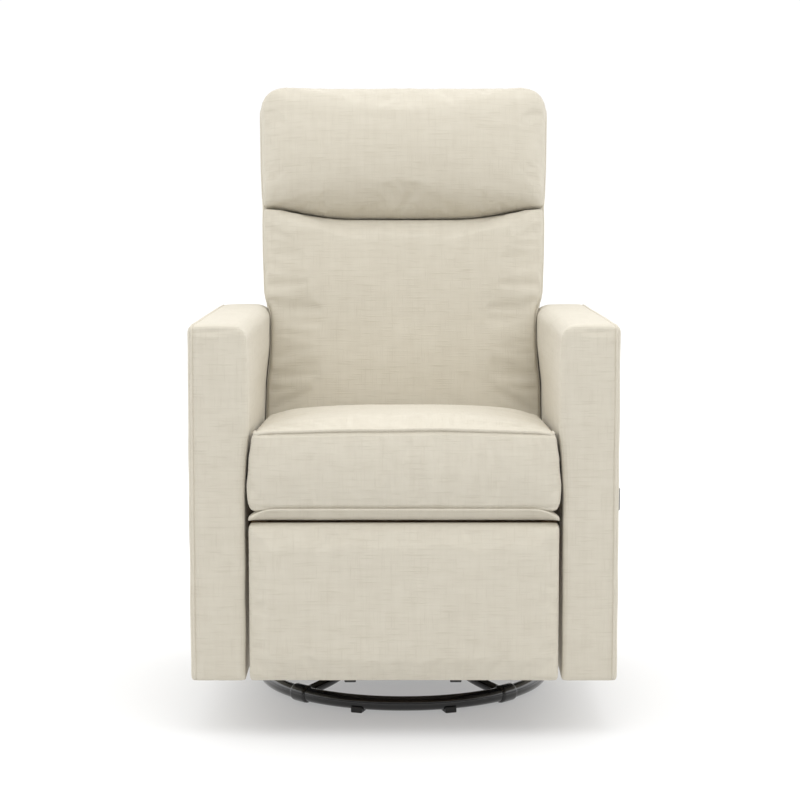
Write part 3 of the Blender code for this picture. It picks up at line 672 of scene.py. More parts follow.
def build_arm(side_name, side):
    low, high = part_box(f"arm_cover_{side_name}")
    inner_x = min(abs(low.x), abs(high.x))
    outer_x = max(abs(low.x), abs(high.x))
    rear_drop = 0.012
    inset = 0.002
    seam_x = outer_x - 0.0065

    def corner(x, y, z):
        outward = x * side > 0
        top = high.z - inset - (rear_drop if y > 0 else 0)
        return (
            side * (outer_x if outward else (inner_x + inset)),
            (high.y - inset) if y > 0 else (low.y + inset),
            top if z > 0 else low.z,
        )

    out, inn = side, -side
    widths = {
        (out, -1, 0): 0.008, (inn, -1, 0): 0.007, (out, 1, 0): 0.010, (inn, 1, 0): 0.008,
        (out, 0, 1): 0.008, (inn, 0, 1): 0.020, (0, -1, 1): 0.011, (0, 1, 1): 0.014,
        (out, 0, -1): 0.003, (inn, 0, -1): 0.003, (0, -1, -1): 0.003, (0, 1, -1): 0.003,
    }
    arm = soft_box(f"arm_{side_name}_cover", corner, widths, LINEN)
    remesh(arm, 0.0045, 3)
    length = high.y - low.y

    def pad(places):
        """Foam swells the inner side and the top; the front panel is only just full."""
        x = places[:, 0] * side
        y = places[:, 1]
        z = places[:, 2]
        move = np.zeros_like(places)
        share = np.clip((y - low.y) / length, 0, 1)
        along = np.sin(np.pi * share) ** 0.5
        height = np.clip((z - low.z) / (high.z - low.z), 0, 1)
        inner_face = np.clip((inner_x + 0.03 - x) / 0.03, 0, 1)
        by_cushion = np.interp(z, [0.40, 0.467, 0.51, 0.60, 0.67], [0, 0.0035, 0.0085, 0.009, 0.006])
        by_back = np.interp(z, [0.40, 0.53, 0.60, 0.67], [0, 0.0012, 0.008, 0.008])
        over_seat = np.clip(1.3 - share * 1.5, 0, 1)
        above_seat = near(share - 0.62, 0.35) * np.clip((z - 0.55) / 0.06, 0, 1)
        swell = over_seat * by_cushion + (1 - over_seat) * by_back + above_seat * 0.004
        move[:, 0] -= side * inner_face * swell
        across = np.clip((x - inner_x) / (outer_x - inner_x), 0, 1)
        top_face = np.clip((z - (high.z - 0.035)) / 0.03, 0, 1)
        move[:, 2] += top_face * np.sin(np.pi * across) ** 0.7 * 0.0045 * along ** 0.5
        front_face = np.clip((low.y + 0.012 - y) / 0.012, 0, 1)
        panel = np.sin(np.pi * across) ** 0.6 * np.clip(np.minimum(height, 1 - height) / 0.12, 0, 1)
        move[:, 1] -= front_face * panel * 0.0035
        outer_face = np.clip((x - (outer_x - 0.01)) / 0.01, 0, 1)
        belly = along * np.sin(np.pi * height) ** 0.5
        move[:, 0] += side * outer_face * (0.0006 + belly * 0.0012)
        uneven = ripples(places, 16.0, 3.0 + side)[:, None]
        normal_like = np.stack([side * (outer_face - inner_face), -front_face, top_face], 1)
        return move + normal_like * uneven * 0.0009

    dent(arm, pad)

    def seam_pull(places):
        """The welt seam and the front panel's top seam draw the cloth in."""
        x = places[:, 0] * side
        y = places[:, 1]
        z = places[:, 2]
        move = np.zeros_like(places)
        front = np.clip((low.y + 0.02 - y) / 0.02, 0, 1)
        move[:, 1] += front * near(x - seam_x, 0.007) * 0.0018
        seam_z = high.z - 0.012
        fade = near(x - (seam_x - 0.03), 0.045)
        move[:, 1] += front * near(z - seam_z, 0.007) * 0.0030 * fade
        move[:, 2] -= front * near(z - seam_z, 0.007) * 0.0020 * fade
        top = np.clip((z - (high.z - 0.035)) / 0.02, 0, 1)
        move[:, 2] -= top * near(x - seam_x, 0.006) * 0.0018
        return move

    dent(arm, seam_pull)
    lay_cloth(arm)
    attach(arm, "chair")
    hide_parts(f"arm_cover_{side_name}")

    front_y = low.y + 0.0025
    top_z = high.z - 0.0015
    rear_y = high.y - 0.003
    rear_z = top_z - rear_drop
    bend = 0.016
    x = side * (seam_x + 0.0005)
    route = smooth_route(
        [
            (x, front_y, low.z + 0.001), (x, front_y, low.z + 0.12), (x, front_y, 0.4),
            (x, front_y, top_z - 2.2 * bend), (x, front_y + 0.001, top_z - bend),
            (x, front_y + bend * 0.3, top_z - bend * 0.3), (x, front_y + bend, top_z),
            (x, front_y + 3 * bend, top_z - 0.0005), (x, -0.1, top_z - rear_drop * 0.48),
            (x, rear_y - 3 * bend, rear_z + 0.001), (x, rear_y - bend, rear_z),
            (x, rear_y - bend * 0.3, rear_z - bend * 0.3), (x, rear_y, rear_z - bend),
            (x, rear_y, 0.4), (x, rear_y, low.z + 0.001),
        ],
        10,
    )
    sew_welt(f"arm_{side_name}_welt", lay_on(route, [arm], 0.0006), "chair", 0.0022)


build_arm("left", -1)
build_arm("right", 1)


# ------------------------------------------------------------------ Seat cushion
# A foam block in a boxed cover: crowned top panel, front boxing, and a soft roll under it.
# Welts run along the top and bottom of the boxing. It is strapped down to the seat box.

seat_low, seat_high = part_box("seat_cushion")
WELT_TOP_Z = 0.5115
WELT_BOW = 0.0045
WELT_LOW_Z = 0.3835
BOXING_FRONT = seat_low.y
SEAT_HALF = 0.2505
SEAT_REAR_HALF = 0.2515
SEAT_UNDER_Z = 0.367
SEAT_REAR_LOW = 0.046
SEAT_REAR_HIGH = 0.078
SEAT_CROWN = 0.017
BOXING_BELLY = 0.006
TOP_WELT_HALF = 0.2470
REAR_TOP_Z = 0.480


FILLING_STEPS = 20


def plump(piece, pressure, most, sewn, swell):
    """Fill the piece: its cloth is blown outwards, no point further than most, and its weave grows
    by swell. sewn gives 0 to 1 for each point, 1 where a seam or a staple holds it."""
    start = read_places(piece.data)
    group = piece.vertex_groups.new(name="sewn")
    hold = sewn(start)
    for index in np.nonzero(hold > 0.01)[0]:
        group.add([int(index)], float(hold[index]), "REPLACE")
    cloth = piece.modifiers.new("filling", "CLOTH")
    for setting, value in {
        "quality": 6, "mass": 0.25, "tension_stiffness": 18, "compression_stiffness": 18,
        "shear_stiffness": 6, "bending_stiffness": 0.6, "use_pressure": True,
        "uniform_pressure_force": pressure, "shrink_min": -swell, "shrink_max": -swell,
        "vertex_group_mass": "sewn", "pin_stiffness": 1.0,
    }.items():
        setattr(cloth.settings, setting, value)
    cloth.settings.effector_weights.gravity = 0
    cloth.collision_settings.use_collision = False
    cloth.point_cache.frame_start = 1
    cloth.point_cache.frame_end = FILLING_STEPS
    for step in range(1, FILLING_STEPS + 1):
        scene.frame_set(step)
    graph = bpy.context.evaluated_depsgraph_get()
    blown = read_places(piece.evaluated_get(graph).data)
    piece.modifiers.clear()
    scene.frame_set(1)
    move = blown - start
    far = np.linalg.norm(move, axis=1, keepdims=True)
    move *= np.minimum(1.0, most / np.maximum(far, 1e-9))
    write_places(piece.data, start + move)


def refine(piece):
    """Divide each face in four and round it off."""
    finer = piece.modifiers.new("finer", "SUBSURF")
    finer.levels = 1
    finer.render_levels = 1
    return bake(piece)


def boxing_half(z):
    """Half the cushion's width at a height: it bellies out low down between its welts."""
    heights = [0.380, 0.400, 0.425, 0.467, 0.512]
    return np.interp(z, heights, [0.2520, 0.2550, 0.2558, 0.2528, 0.2466])


def seat_corner(x, y, z):
    if y < 0:
        return (x * SEAT_HALF, BOXING_FRONT + 0.002, WELT_TOP_Z if z > 0 else WELT_LOW_Z - 0.004)
    if z > 0:
        return (x * SEAT_REAR_HALF, SEAT_REAR_HIGH, REAR_TOP_Z)
    return (x * SEAT_REAR_HALF, SEAT_REAR_LOW, SEAT_UNDER_Z)


seat_edges = {
    (0, -1, 1): 0.006, (0, -1, -1): 0.008, (0, 1, 1): 0.03, (0, 1, -1): 0.012,
    (1, -1, 0): 0.012, (-1, -1, 0): 0.012, (1, 1, 0): 0.02, (-1, 1, 0): 0.02,
    (1, 0, 1): 0.012, (-1, 0, 1): 0.012, (1, 0, -1): 0.008, (-1, 0, -1): 0.008,
}
seat = soft_box("seat_cushion_cover", seat_corner, seat_edges, LINEN)
remesh(seat, 0.006, 2)


def seat_shape(places):
    """Boxing that bellies out, and a crown that is fullest in the middle of the seat."""
    x, y, z = places.T
    move = np.zeros_like(places)
    side_share = np.clip(np.abs(x) / SEAT_HALF, 0, 1)
    out = side_share ** 3 * (boxing_half(z) - SEAT_HALF)
    move[:, 0] += np.sign(x) * out * np.clip((0.08 - y) / 0.2, 0, 1)
    bow = (1 - side_share ** 2) * WELT_BOW * np.clip((BOXING_FRONT + 0.05 - y) / 0.05, 0, 1)
    move[:, 2] += bow * np.clip((z - 0.46) / 0.05, 0, 1)
    t = np.clip((z - WELT_LOW_Z) / (WELT_TOP_Z - WELT_LOW_Z), 0, 1)
    front = np.clip((BOXING_FRONT + 0.012 - y) / 0.012, 0, 1)
    ends = np.clip((SEAT_HALF - np.abs(x)) / 0.05, 0, 1) ** 0.5
    move[:, 1] -= front * np.sin(np.pi * t) * ends * BOXING_BELLY
    back_share = np.clip((y - BOXING_FRONT) / (SEAT_REAR_HIGH - BOXING_FRONT), 0, 1)
    top = np.clip((z - 0.45) / 0.03, 0, 1)
    rise = np.sin(np.clip(back_share / 0.12, 0, 1) * np.pi / 2)
    across = 1 - (np.abs(x) / SEAT_HALF) ** 2.6
    along = 1 - np.clip((back_share - 0.55) / 0.45, 0, 1) ** 2 * 0.5
    move[:, 2] += top * rise * across.clip(0, 1) * along * SEAT_CROWN
    return move


dent(seat, seat_shape)


def seat_sewn(places):
    """The welts, the cushion's underside and the parts against the arms and the back are held."""
    x, y, z = places.T
    front = y < BOXING_FRONT + 0.012
    top_welt = near(z - WELT_TOP_Z - WELT_BOW / 2, 0.010) * (y < BOXING_FRONT + 0.02)
    low_welt = near(z - WELT_LOW_Z, 0.010) * front
    under = (z < 0.372).astype(float)
    sides = np.clip((np.abs(x) - 0.235) / 0.012, 0, 1) * (y > BOXING_FRONT + 0.02)
    rear = np.clip((y - 0.03) / 0.02, 0, 1)
    return np.clip(np.maximum.reduce([top_welt, low_welt, under, sides, rear]), 0, 1)


plump(seat, 2.5, 0.008, seat_sewn, swell=0.01)
refine(seat)


def seat_marks(places):
    """Small gathers run in from the welts and die out; the filling is not quite even."""
    x, y, z = places.T
    move = np.zeros_like(places)
    front = np.clip((BOXING_FRONT + 0.02 - y) / 0.012, 0, 1)
    corner_gather = near(np.abs(x) - 0.235, 0.05)
    fall = np.clip((WELT_TOP_Z - z) / 0.05, 0, 1)
    folds = np.sin((np.abs(x) + 0.35 * z) * 2 * np.pi / 0.017)
    move[:, 1] += front * corner_gather * (1 - fall) * folds * 0.0008
    move[:, 1] += front * ripples(places, 11.0, 8.0) * 0.0011
    top = np.clip((z - 0.49) / 0.02, 0, 1)
    move[:, 2] += top * ripples(places, 9.0, 5.0) * 0.0016
    seam = WELT_TOP_Z + WELT_BOW * (1 - (x / TOP_WELT_HALF) ** 2)
    move[:, 1] += front * near(z - seam + 0.0045, 0.0055) * 0.0026
    low_seam = WELT_LOW_Z + 0.0045
    move[:, 1] += front * near(z - low_seam, 0.005) * 0.0020
    return move


dent(seat, seat_marks)
lay_cloth(seat)
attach(seat, "chair")
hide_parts("seat_cushion")


def front_line(z, half, bow, dip, steps=60):
    """A line across the cushion's front: it bows up in the middle and dips at both ends."""
    points = []
    for i in range(steps + 1):
        x = -half + 2 * half * i / steps
        end = max(0.0, (abs(x) / half - 0.80) / 0.20)
        turn_in = max(0.0, (abs(x) / half - 0.96) / 0.04)
        height = z + bow * (1 - (x / half) ** 2) - dip * end * end
        points.append((x, BOXING_FRONT - 0.0005 + 0.008 * turn_in * turn_in, height))
    return points


top_route = front_line(WELT_TOP_Z, TOP_WELT_HALF - 0.001, WELT_BOW, 0.001)
for sign in (-1, 1):
    run_back = [
        (sign * (TOP_WELT_HALF - 0.0005), BOXING_FRONT + 0.012 + 0.01 * k, WELT_TOP_Z - 0.0012 * k)
        for k in range(6)
    ]
    top_route = run_back[::-1] + top_route if sign < 0 else top_route + run_back
sew_welt("seat_top_welt", lay_on(top_route, [seat], 0.0004), "chair", 0.0026)

# The roll under the boxing: wadding in the tail of the front panel, gathered to a point at each end.
ROLL_HALF = 0.2530
ROLL_FULL = 0.78
ROLL_STEPS = 120
ROLL_BENDS = 16
ROLL_DROP = 0.0205
ROLL_TAPER = 0.0175
ROLL_FRONT = BOXING_FRONT + 0.0042
ROLL_DEPTH = 0.024
ROLL_LOW_Z = WELT_LOW_Z - ROLL_DROP


def past_full(x):
    """How far a point lies along the roll's tapered end, 0 to 1."""
    return max(0.0, (abs(x) / ROLL_HALF - ROLL_FULL) / (1 - ROLL_FULL))


roll_form = bmesh.new()
roll_rows = []
for i in range(ROLL_STEPS + 1):
    x = -ROLL_HALF + 2 * ROLL_HALF * i / ROLL_STEPS
    top_z = WELT_LOW_Z + 0.0005 - ROLL_TAPER * past_full(x) ** 3
    row = []
    for k in range(ROLL_BENDS + 1):
        a = math.pi / 2 * k / ROLL_BENDS
        depth = ROLL_DEPTH * (k / ROLL_BENDS) ** 1.1
        fall = (top_z - ROLL_LOW_Z) * math.sin(a) ** 0.95
        row.append(roll_form.verts.new((x, ROLL_FRONT + depth, top_z - fall)))
    back_y = ROLL_FRONT + ROLL_DEPTH
    row.append(roll_form.verts.new((x, back_y, top_z + 0.004)))
    row.append(roll_form.verts.new((x, ROLL_FRONT + 0.010, top_z + 0.004)))
    roll_rows.append(row)
for a, b in zip(roll_rows, roll_rows[1:]):
    for k in range(len(a)):
        n = (k + 1) % len(a)
        roll_form.faces.new((a[k], b[k], b[n], a[n]))
roll_form.faces.new(roll_rows[0])
roll_form.faces.new(list(reversed(roll_rows[-1])))
bmesh.ops.recalc_face_normals(roll_form, faces=roll_form.faces)
roll_mesh = bpy.data.meshes.new("seat_front_roll")
roll_form.to_mesh(roll_mesh)
roll_form.free()
roll = new_piece("seat_front_roll", roll_mesh, LINEN)


def roll_uneven(places):
    move = np.zeros_like(places)
    move[:, 1] = ripples(places, 24.0, 2.0) * 0.0007
    move[:, 2] = ripples(places, 18.0, 6.0) * 0.0005
    return move


dent(roll, roll_uneven)
lay_cloth(roll)
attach(roll, "chair")
low_route = []
for i in range(91):
    x = (ROLL_HALF - 0.001) * (2 * i / 90 - 1)
    end = past_full(x)
    low_route.append(
        (x, BOXING_FRONT + 0.0014 + 0.003 * end * end, WELT_LOW_Z + 0.0008 - ROLL_TAPER * end ** 3)
    )
sew_welt("seat_low_welt", low_route, "chair", 0.0018)


# ------------------------------------------------------------------ Back: lumbar pad and head pad
# Two stuffed pads on the hardwood frame, sewn to each other along a seam that rises at both ends.
# A welt joins them to the side boxing all the way up and over the top.

pivot = Vector(next(j["pos_m"] for j in frame["joints"] if j["name"] == "back_recline"))
BACK_LEAN = math.radians(16)
back_turn = Matrix.Translation(pivot) @ Matrix.Rotation(math.pi / 2 - BACK_LEAN, 4, "X")
PAD_BACK = 0.029
PAD_SIDE = 0.083
LUMBAR_FRONT = 0.102
HEAD_FRONT = 0.108
TOP_S = 0.7315
BOTTOM_S = 0.022
SEAM_MID = 0.474
SEAM_RISE = 0.018
SEAM_HALF_GAP = 0.0008
CORNER = 0.050


def back_half(s):
    """Half the back's width at a height up it: it fills the arms low down and widens above them."""
    heights = [0.0, 0.150, 0.215, 0.290, 0.318, TOP_S]
    return np.interp(s, heights, [0.2555, 0.2550, 0.2492, 0.2480, 0.2618, 0.2755])


def seam_height(u):
    """The seam between the pads: level in the middle, higher towards the sides."""
    t = np.clip((np.abs(u) - 0.11) / 0.145, 0, 1)
    return SEAM_MID + SEAM_RISE * t * t * (3 - 2 * t)


PAD_COLUMNS = 44
PAD_ROWS = 30


def pad_form(name, low_line, high_line, corner):
    """A closed pad in the back's own directions: a front skin over a boxed edge and a flat back."""
    form = bmesh.new()

    def spot(a, b, f):
        low = float(low_line(a * 0.27))
        high = float(high_line(a * 0.27))
        s = low + (high - low) * (b + 1) / 2
        half = float(back_half(s))
        u = a * half
        if corner and s > high - corner:
            over = (s - (high - corner)) / corner
            most = half - corner + corner * math.sqrt(max(0.0, 1 - over * over))
            u = a * most
        return Vector((u, s, f))

    def ring_of(f):
        across = [-1 + 2 * i / PAD_COLUMNS for i in range(PAD_COLUMNS)]
        up = [-1 + 2 * i / PAD_ROWS for i in range(PAD_ROWS)]
        ring = [(a, -1) for a in across] + [(1, b) for b in up]
        ring += [(-a, 1) for a in across] + [(-1, -b) for b in up]
        return [form.verts.new(spot(a, b, f)) for a, b in ring]

    back_ring = ring_of(PAD_BACK)
    side_ring = ring_of(PAD_SIDE)
    for i in range(len(back_ring)):
        n = (i + 1) % len(back_ring)
        form.faces.new((back_ring[i], back_ring[n], side_ring[n], side_ring[i]))
    form.faces.new(side_ring)
    form.faces.new(list(reversed(back_ring)))
    bmesh.ops.recalc_face_normals(form, faces=form.faces)
    bmesh.ops.triangulate(form, faces=[f for f in form.faces if len(f.verts) > 4])
    mesh = bpy.data.meshes.new(name)
    form.to_mesh(mesh)
    form.free()
    return new_piece(name, mesh, LINEN)


def swell_front(piece, low_line, high_line, full, low_round, high_round, side_round, bulge):
    """Raise the front skin from its seams to its full depth."""

    def change(places):
        u, s, f = places.T
        low = low_line(u)
        high = high_line(u)
        from_low = np.clip((s - low) / low_round, 0, 1)
        from_high = np.clip((high - s) / high_round, 0, 1)
        half = back_half(s)
        over = np.clip((s - (TOP_S - CORNER)) / CORNER, 0, 1)
        reach = np.where(
            (high > TOP_S - 0.001), half - CORNER + CORNER * np.sqrt(np.clip(1 - over ** 2, 0, 1)), half
        )
        from_side = np.clip((reach - np.abs(u)) / side_round, 0, 1)
        arch = np.sqrt(1 - (1 - from_low) ** 2) * np.sqrt(1 - (1 - from_high) ** 2)
        arch = arch * np.sqrt(1 - (1 - from_side) ** 2)
        crown = np.clip(1 - (np.abs(u) / 0.275) ** 4, 0, 1)
        crown = crown * np.sin(np.pi * np.clip((s - low) / (high - low), 0, 1))
        front = np.clip((f - PAD_BACK - 0.02) / (PAD_SIDE - PAD_BACK - 0.02), 0, 1)
        move = np.zeros_like(places)
        move[:, 2] = front * (arch * (full - PAD_SIDE - 0.006) + crown * bulge)
        return move

    dent(piece, change)


def flat_line(value):
    """An edge at one height all the way across."""
    return lambda u: np.zeros_like(np.asarray(u, float)) + value


def build_back_pad(name, node, low_line, high_line, corner, full, rounds, bulge, seed):
    """One stuffed pad: full is its depth, rounds how far it curves in from each of its edges."""
    pad = pad_form(name, low_line, high_line, corner)
    remesh(pad, 0.0055, 1)
    swell_front(pad, low_line, high_line, full, *rounds, bulge)
    soften = pad.modifiers.new("soften", "SMOOTH")
    soften.iterations = 6
    bake(pad)

    def sewn(places):
        """The boxing behind and the seam along the sides are held."""
        u, s, f = places.T
        behind = np.clip((PAD_SIDE - 0.012 - f) / 0.015, 0, 1)
        half = back_half(s)
        edge = near(half - np.abs(u), 0.008) * (f < PAD_SIDE + 0.012)
        return np.clip(np.maximum(behind, edge), 0, 1)

    plump(pad, 2.0, 0.009, sewn, swell=0.007)
    refine(pad)

    def uneven(places):
        """Uneven stuffing, and small gathers that run in from the seams."""
        u, s, f = places.T
        front = np.clip((f - PAD_SIDE) / 0.01, 0, 1)
        move = np.zeros_like(places)
        lumps = ripples(places, 8.0, seed) * 0.0022 + ripples(places, 26.0, seed + 4) * 0.0006
        move[:, 2] = front * lumps
        low = low_line(u)
        high = high_line(u)
        gather = near(np.abs(u) - 0.2, 0.1)
        fold = np.sin(2 * np.pi * (np.abs(u) + (s - low) * 0.4) / 0.021)
        edge = near(s - low, 0.035) + near(high - s, 0.035)
        move[:, 2] += front * gather * edge * fold * 0.0006
        return move

    dent(pad, uneven)
    lay_cloth(pad)
    pad.data.transform(back_turn)
    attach(pad, "back")
    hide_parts(node)
    return pad


lumbar = build_back_pad(
    "lumbar_pad_cover", "lumbar_pad", flat_line(BOTTOM_S), lambda u: seam_height(u) - SEAM_HALF_GAP,
    0, LUMBAR_FRONT, (0.030, 0.036, 0.034), 0.012, 21.0,
)
head = build_back_pad(
    "head_pad_cover", "head_pad", lambda u: seam_height(u) + SEAM_HALF_GAP, flat_line(TOP_S),
    CORNER, HEAD_FRONT, (0.040, 0.055, 0.036), 0.026, 33.0,
)


# ------------------------------------------------------------------ Back: outer cover and welts
# Cloth stretched over board and wadding on the rear of the frame, tacked along its lower edge.
# Its side boxing meets the pads at a seam; a welt edges the rear panel.

COVER_REAR = -0.051
COVER_FRONT = 0.0288
COVER_LOW = 0.018
COVER_LOW_HALF = 0.2540
COVER_WALL = 0.004
SIDE_STEPS = 60
CORNER_STEPS = 12
ACROSS_STEPS = 44


def cover_outline(shrink):
    """Points round the back's edge, from its lower left corner up and over to its lower right."""
    right = []
    for i in range(SIDE_STEPS + 1):
        s = COVER_LOW + (TOP_S - CORNER - COVER_LOW) * i / SIDE_STEPS
        half = float(back_half(s))
        wider = max(0.0, COVER_LOW_HALF - half) * min(1.0, max(0.0, (0.30 - s) / 0.03))
        right.append((half + wider - shrink, s))
    top_half = float(back_half(TOP_S))
    center = (top_half - CORNER, TOP_S - CORNER)
    for i in range(1, CORNER_STEPS + 1):
        a = math.pi / 2 * i / CORNER_STEPS
        radius = CORNER - shrink
        right.append((center[0] + radius * math.cos(a), center[1] + radius * math.sin(a)))
    across = [
        (center[0] * (1 - 2 * i / ACROSS_STEPS), TOP_S - shrink) for i in range(1, ACROSS_STEPS)
    ]
    left = [(-u, s) for u, s in right]
    return left + [(-u, s) for u, s in across] + right[::-1]


def build_back_cover():
    form = bmesh.new()
    layers = [
        (COVER_FRONT, 0.0), (COVER_FRONT - 0.02, -0.0008), (-0.012, -0.001), (COVER_REAR + 0.012, 0.0),
        (COVER_REAR + 0.004, 0.0025), (COVER_REAR, 0.010), (COVER_REAR - 0.0015, 0.035),
    ]
    rings = [[form.verts.new((u, s, f)) for u, s in cover_outline(shrink)] for f, shrink in layers]
    for a, b in zip(rings, rings[1:]):
        for i in range(len(a) - 1):
            form.faces.new((a[i], a[i + 1], b[i + 1], b[i]))
    last = rings[-1]
    side_count = (len(last) - ACROSS_STEPS + 1) // 2
    rows = []
    for i in range(side_count):
        left, right = last[i], last[-1 - i]
        if i == side_count - 1:
            between = last[side_count:len(last) - side_count]
        else:
            between = [
                form.verts.new(left.co.lerp(right.co, k / ACROSS_STEPS)) for k in range(1, ACROSS_STEPS)
            ]
        rows.append([left, *between, right])
    for a, b in zip(rows, rows[1:]):
        for k in range(ACROSS_STEPS):
            form.faces.new((a[k], a[k + 1], b[k + 1], b[k]))
    bmesh.ops.recalc_face_normals(form, faces=form.faces)
    mesh = bpy.data.meshes.new("back_outer_cover")
    form.to_mesh(mesh)
    form.free()
    cover = new_piece("back_outer_cover", mesh, LINEN)
    wall = cover.modifiers.new("cloth_and_wadding", "SOLIDIFY")
    wall.thickness = COVER_WALL
    wall.offset = -1
    bake(cover)

    def sag(places):
        u, s, f = places.T
        rear = np.clip((COVER_REAR + 0.004 - f) / 0.004, 0, 1)
        belly = np.clip(1 - (u / 0.25) ** 2, 0, 1) * np.sin(np.pi * np.clip(s / TOP_S, 0, 1)) ** 0.7
        move = np.zeros_like(places)
        move[:, 2] = -rear * (belly * 0.006 + ripples(places, 6.0, 12.0) * 0.0012)
        return move

    dent(cover, sag)
    lay_cloth(cover)
    cover.data.transform(back_turn)
    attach(cover, "back")
    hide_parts("back_cover")


build_back_cover()


def back_line(f, top_f, out):
    """A seam round the back at depth f, which runs over the top at depth top_f."""
    line = []
    for u, s in cover_outline(-out):
        over = min(1.0, max(0.0, (s - (TOP_S - 1.3 * CORNER)) / CORNER))
        over = over * over * (3 - 2 * over)
        line.append(back_turn @ Vector((u, s, f + over * (top_f - f))))
    return line


front_route = lay_on(back_line(PAD_SIDE - 0.003, 0.045, 0.0004), [lumbar, head], 0.0003)
sew_welt("back_front_welt", front_route, "back", 0.0020)
rear_seam = COVER_REAR + 0.003
sew_welt("back_rear_welt", back_line(rear_seam, rear_seam, -0.0015), "back", 0.0024)

# The gusset: a strip of the same cloth that closes the gap between the back and the rear panel.
# It is stapled to both.
rear_low, rear_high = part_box("rear_panel")
gusset_top = back_turn @ Vector((0, COVER_LOW + 0.012, rear_seam))
gusset_low = Vector((0, rear_high.y - 0.010, rear_high.z - 0.020))
GUSSET_HALF = 0.2535
GUSSET_BOW = 0.004
GUSSET_ROWS = 16
GUSSET_COLUMNS = 60
form = bmesh.new()
gusset_rows = []
for i in range(GUSSET_ROWS + 1):
    center = gusset_top.lerp(gusset_low, i / GUSSET_ROWS)
    y = center.y + GUSSET_BOW * math.sin(math.pi * i / GUSSET_ROWS)
    across = [-GUSSET_HALF + 2 * GUSSET_HALF * k / GUSSET_COLUMNS for k in range(GUSSET_COLUMNS + 1)]
    gusset_rows.append([form.verts.new((x, y, center.z)) for x in across])
for a, b in zip(gusset_rows, gusset_rows[1:]):
    for k in range(GUSSET_COLUMNS):
        form.faces.new((a[k], a[k + 1], b[k + 1], b[k]))
gusset_mesh = bpy.data.meshes.new("back_gusset")
form.to_mesh(gusset_mesh)
form.free()
gusset = new_piece("back_gusset", gusset_mesh, LINEN)
thick = gusset.modifiers.new("cloth", "SOLIDIFY")
thick.thickness = 0.0012
thick.offset = 0
bake(gusset)
dent(gusset, lambda p: np.stack([0 * p[:, 0], ripples(p, 20.0, 9.0) * 0.0012, 0 * p[:, 0]], 1))
lay_cloth(gusset)
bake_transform(gusset)


# ------------------------------------------------------------------ Rear panel
# A fibreboard panel, padded with a thin sheet of wadding and wrapped in the same cloth.
# It is stapled between the arms from inside, below the back, and hides the works.

REAR_EDGE = 0.0008


def rear_corner(x, y, z):
    return (
        x * (rear_high.x - REAR_EDGE),
        (rear_high.y - REAR_EDGE) if y > 0 else (rear_low.y + REAR_EDGE),
        (rear_high.z - REAR_EDGE) if z > 0 else (rear_low.z + REAR_EDGE),
    )


rear = soft_box("rear_panel_cover", rear_corner, {}, LINEN)
remesh(rear, 0.0045, 2)


def rear_fill(places):
    """The wadding fills the outer face and thins out at its edges."""
    x, y, z = places.T
    move = np.zeros_like(places)
    outer = np.clip((y - (rear_low.y + rear_high.y) / 2) / 0.006, 0, 1)
    inside = np.clip((rear_high.x - np.abs(x)) / 0.03, 0, 1) * np.clip(
        np.minimum(z - rear_low.z, rear_high.z - z) / 0.03, 0, 1
    )
    move[:, 1] = outer * (np.sqrt(inside) * 0.003 + ripples(places, 9.0, 14.0) * 0.0008)
    return move


dent(rear, rear_fill)
lay_cloth(rear)
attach(rear, "chair")
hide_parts("rear_panel")


# ------------------------------------------------------------------ Footrest panel
# Foam and wadding on a plywood board, in a cover that is pulled round and stapled behind.
# It hangs flush between the arms and swings up in front of the seat.

foot_low, foot_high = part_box("footrest_pad")
FOOT_TOP_Z = foot_high.z + 0.0055
FOOT_EDGE = 0.0015
FOOT_FRONT = 0.006


def foot_corner(x, y, z):
    return (
        x * (foot_high.x - FOOT_EDGE),
        foot_high.y if y > 0 else foot_low.y + FOOT_FRONT,
        FOOT_TOP_Z if z > 0 else foot_low.z + FOOT_EDGE,
    )


foot_edges = {
    (0, -1, 1): 0.012, (0, -1, -1): 0.007, (1, -1, 0): 0.008, (-1, -1, 0): 0.008,
    (0, 1, 1): 0.003, (0, 1, -1): 0.003, (1, 1, 0): 0.003, (-1, 1, 0): 0.003,
    (1, 0, 1): 0.005, (-1, 0, 1): 0.005, (1, 0, -1): 0.004, (-1, 0, -1): 0.004,
}
foot = soft_box("footrest_cover", foot_corner, foot_edges, LINEN)
remesh(foot, 0.005, 2)


def foot_edge_distance(x, z):
    return np.minimum(foot_high.x - np.abs(x), np.minimum(z - foot_low.z, FOOT_TOP_Z - z))


def foot_face(y):
    """1 on the panel's front, fading to 0 on its edges."""
    return np.clip((foot_low.y + 0.016 - y) / 0.010, 0, 1)


def foot_fill(places):
    """Foam rounds the front over, fullest 5 cm in from the edges."""
    x, y, z = places.T
    move = np.zeros_like(places)
    inside = np.clip(foot_edge_distance(x, z) / 0.05, 0, 1)
    move[:, 1] = -foot_face(y) * np.sqrt(1 - (1 - inside) ** 2) * 0.005
    return move


dent(foot, foot_fill)


def foot_sewn(places):
    """The cover is held behind, where it is stapled, and along its edges."""
    x, y, z = places.T
    behind = np.clip((y - (foot_low.y + 0.012)) / 0.006, 0, 1)
    return np.clip(np.maximum(behind, near(foot_edge_distance(x, z), 0.006)), 0, 1)


plump(foot, 1.2, 0.005, foot_sewn, swell=0.008)
refine(foot)


def foot_uneven(places):
    uneven = ripples(places, 7.0, 41.0) * 0.0018 + ripples(places, 22.0, 44.0) * 0.0005
    move = np.zeros_like(places)
    move[:, 1] = foot_face(places[:, 1]) * uneven
    return move


dent(foot, foot_uneven)
lay_cloth(foot)
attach(foot, "footrest_panel")
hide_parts("footrest_pad")

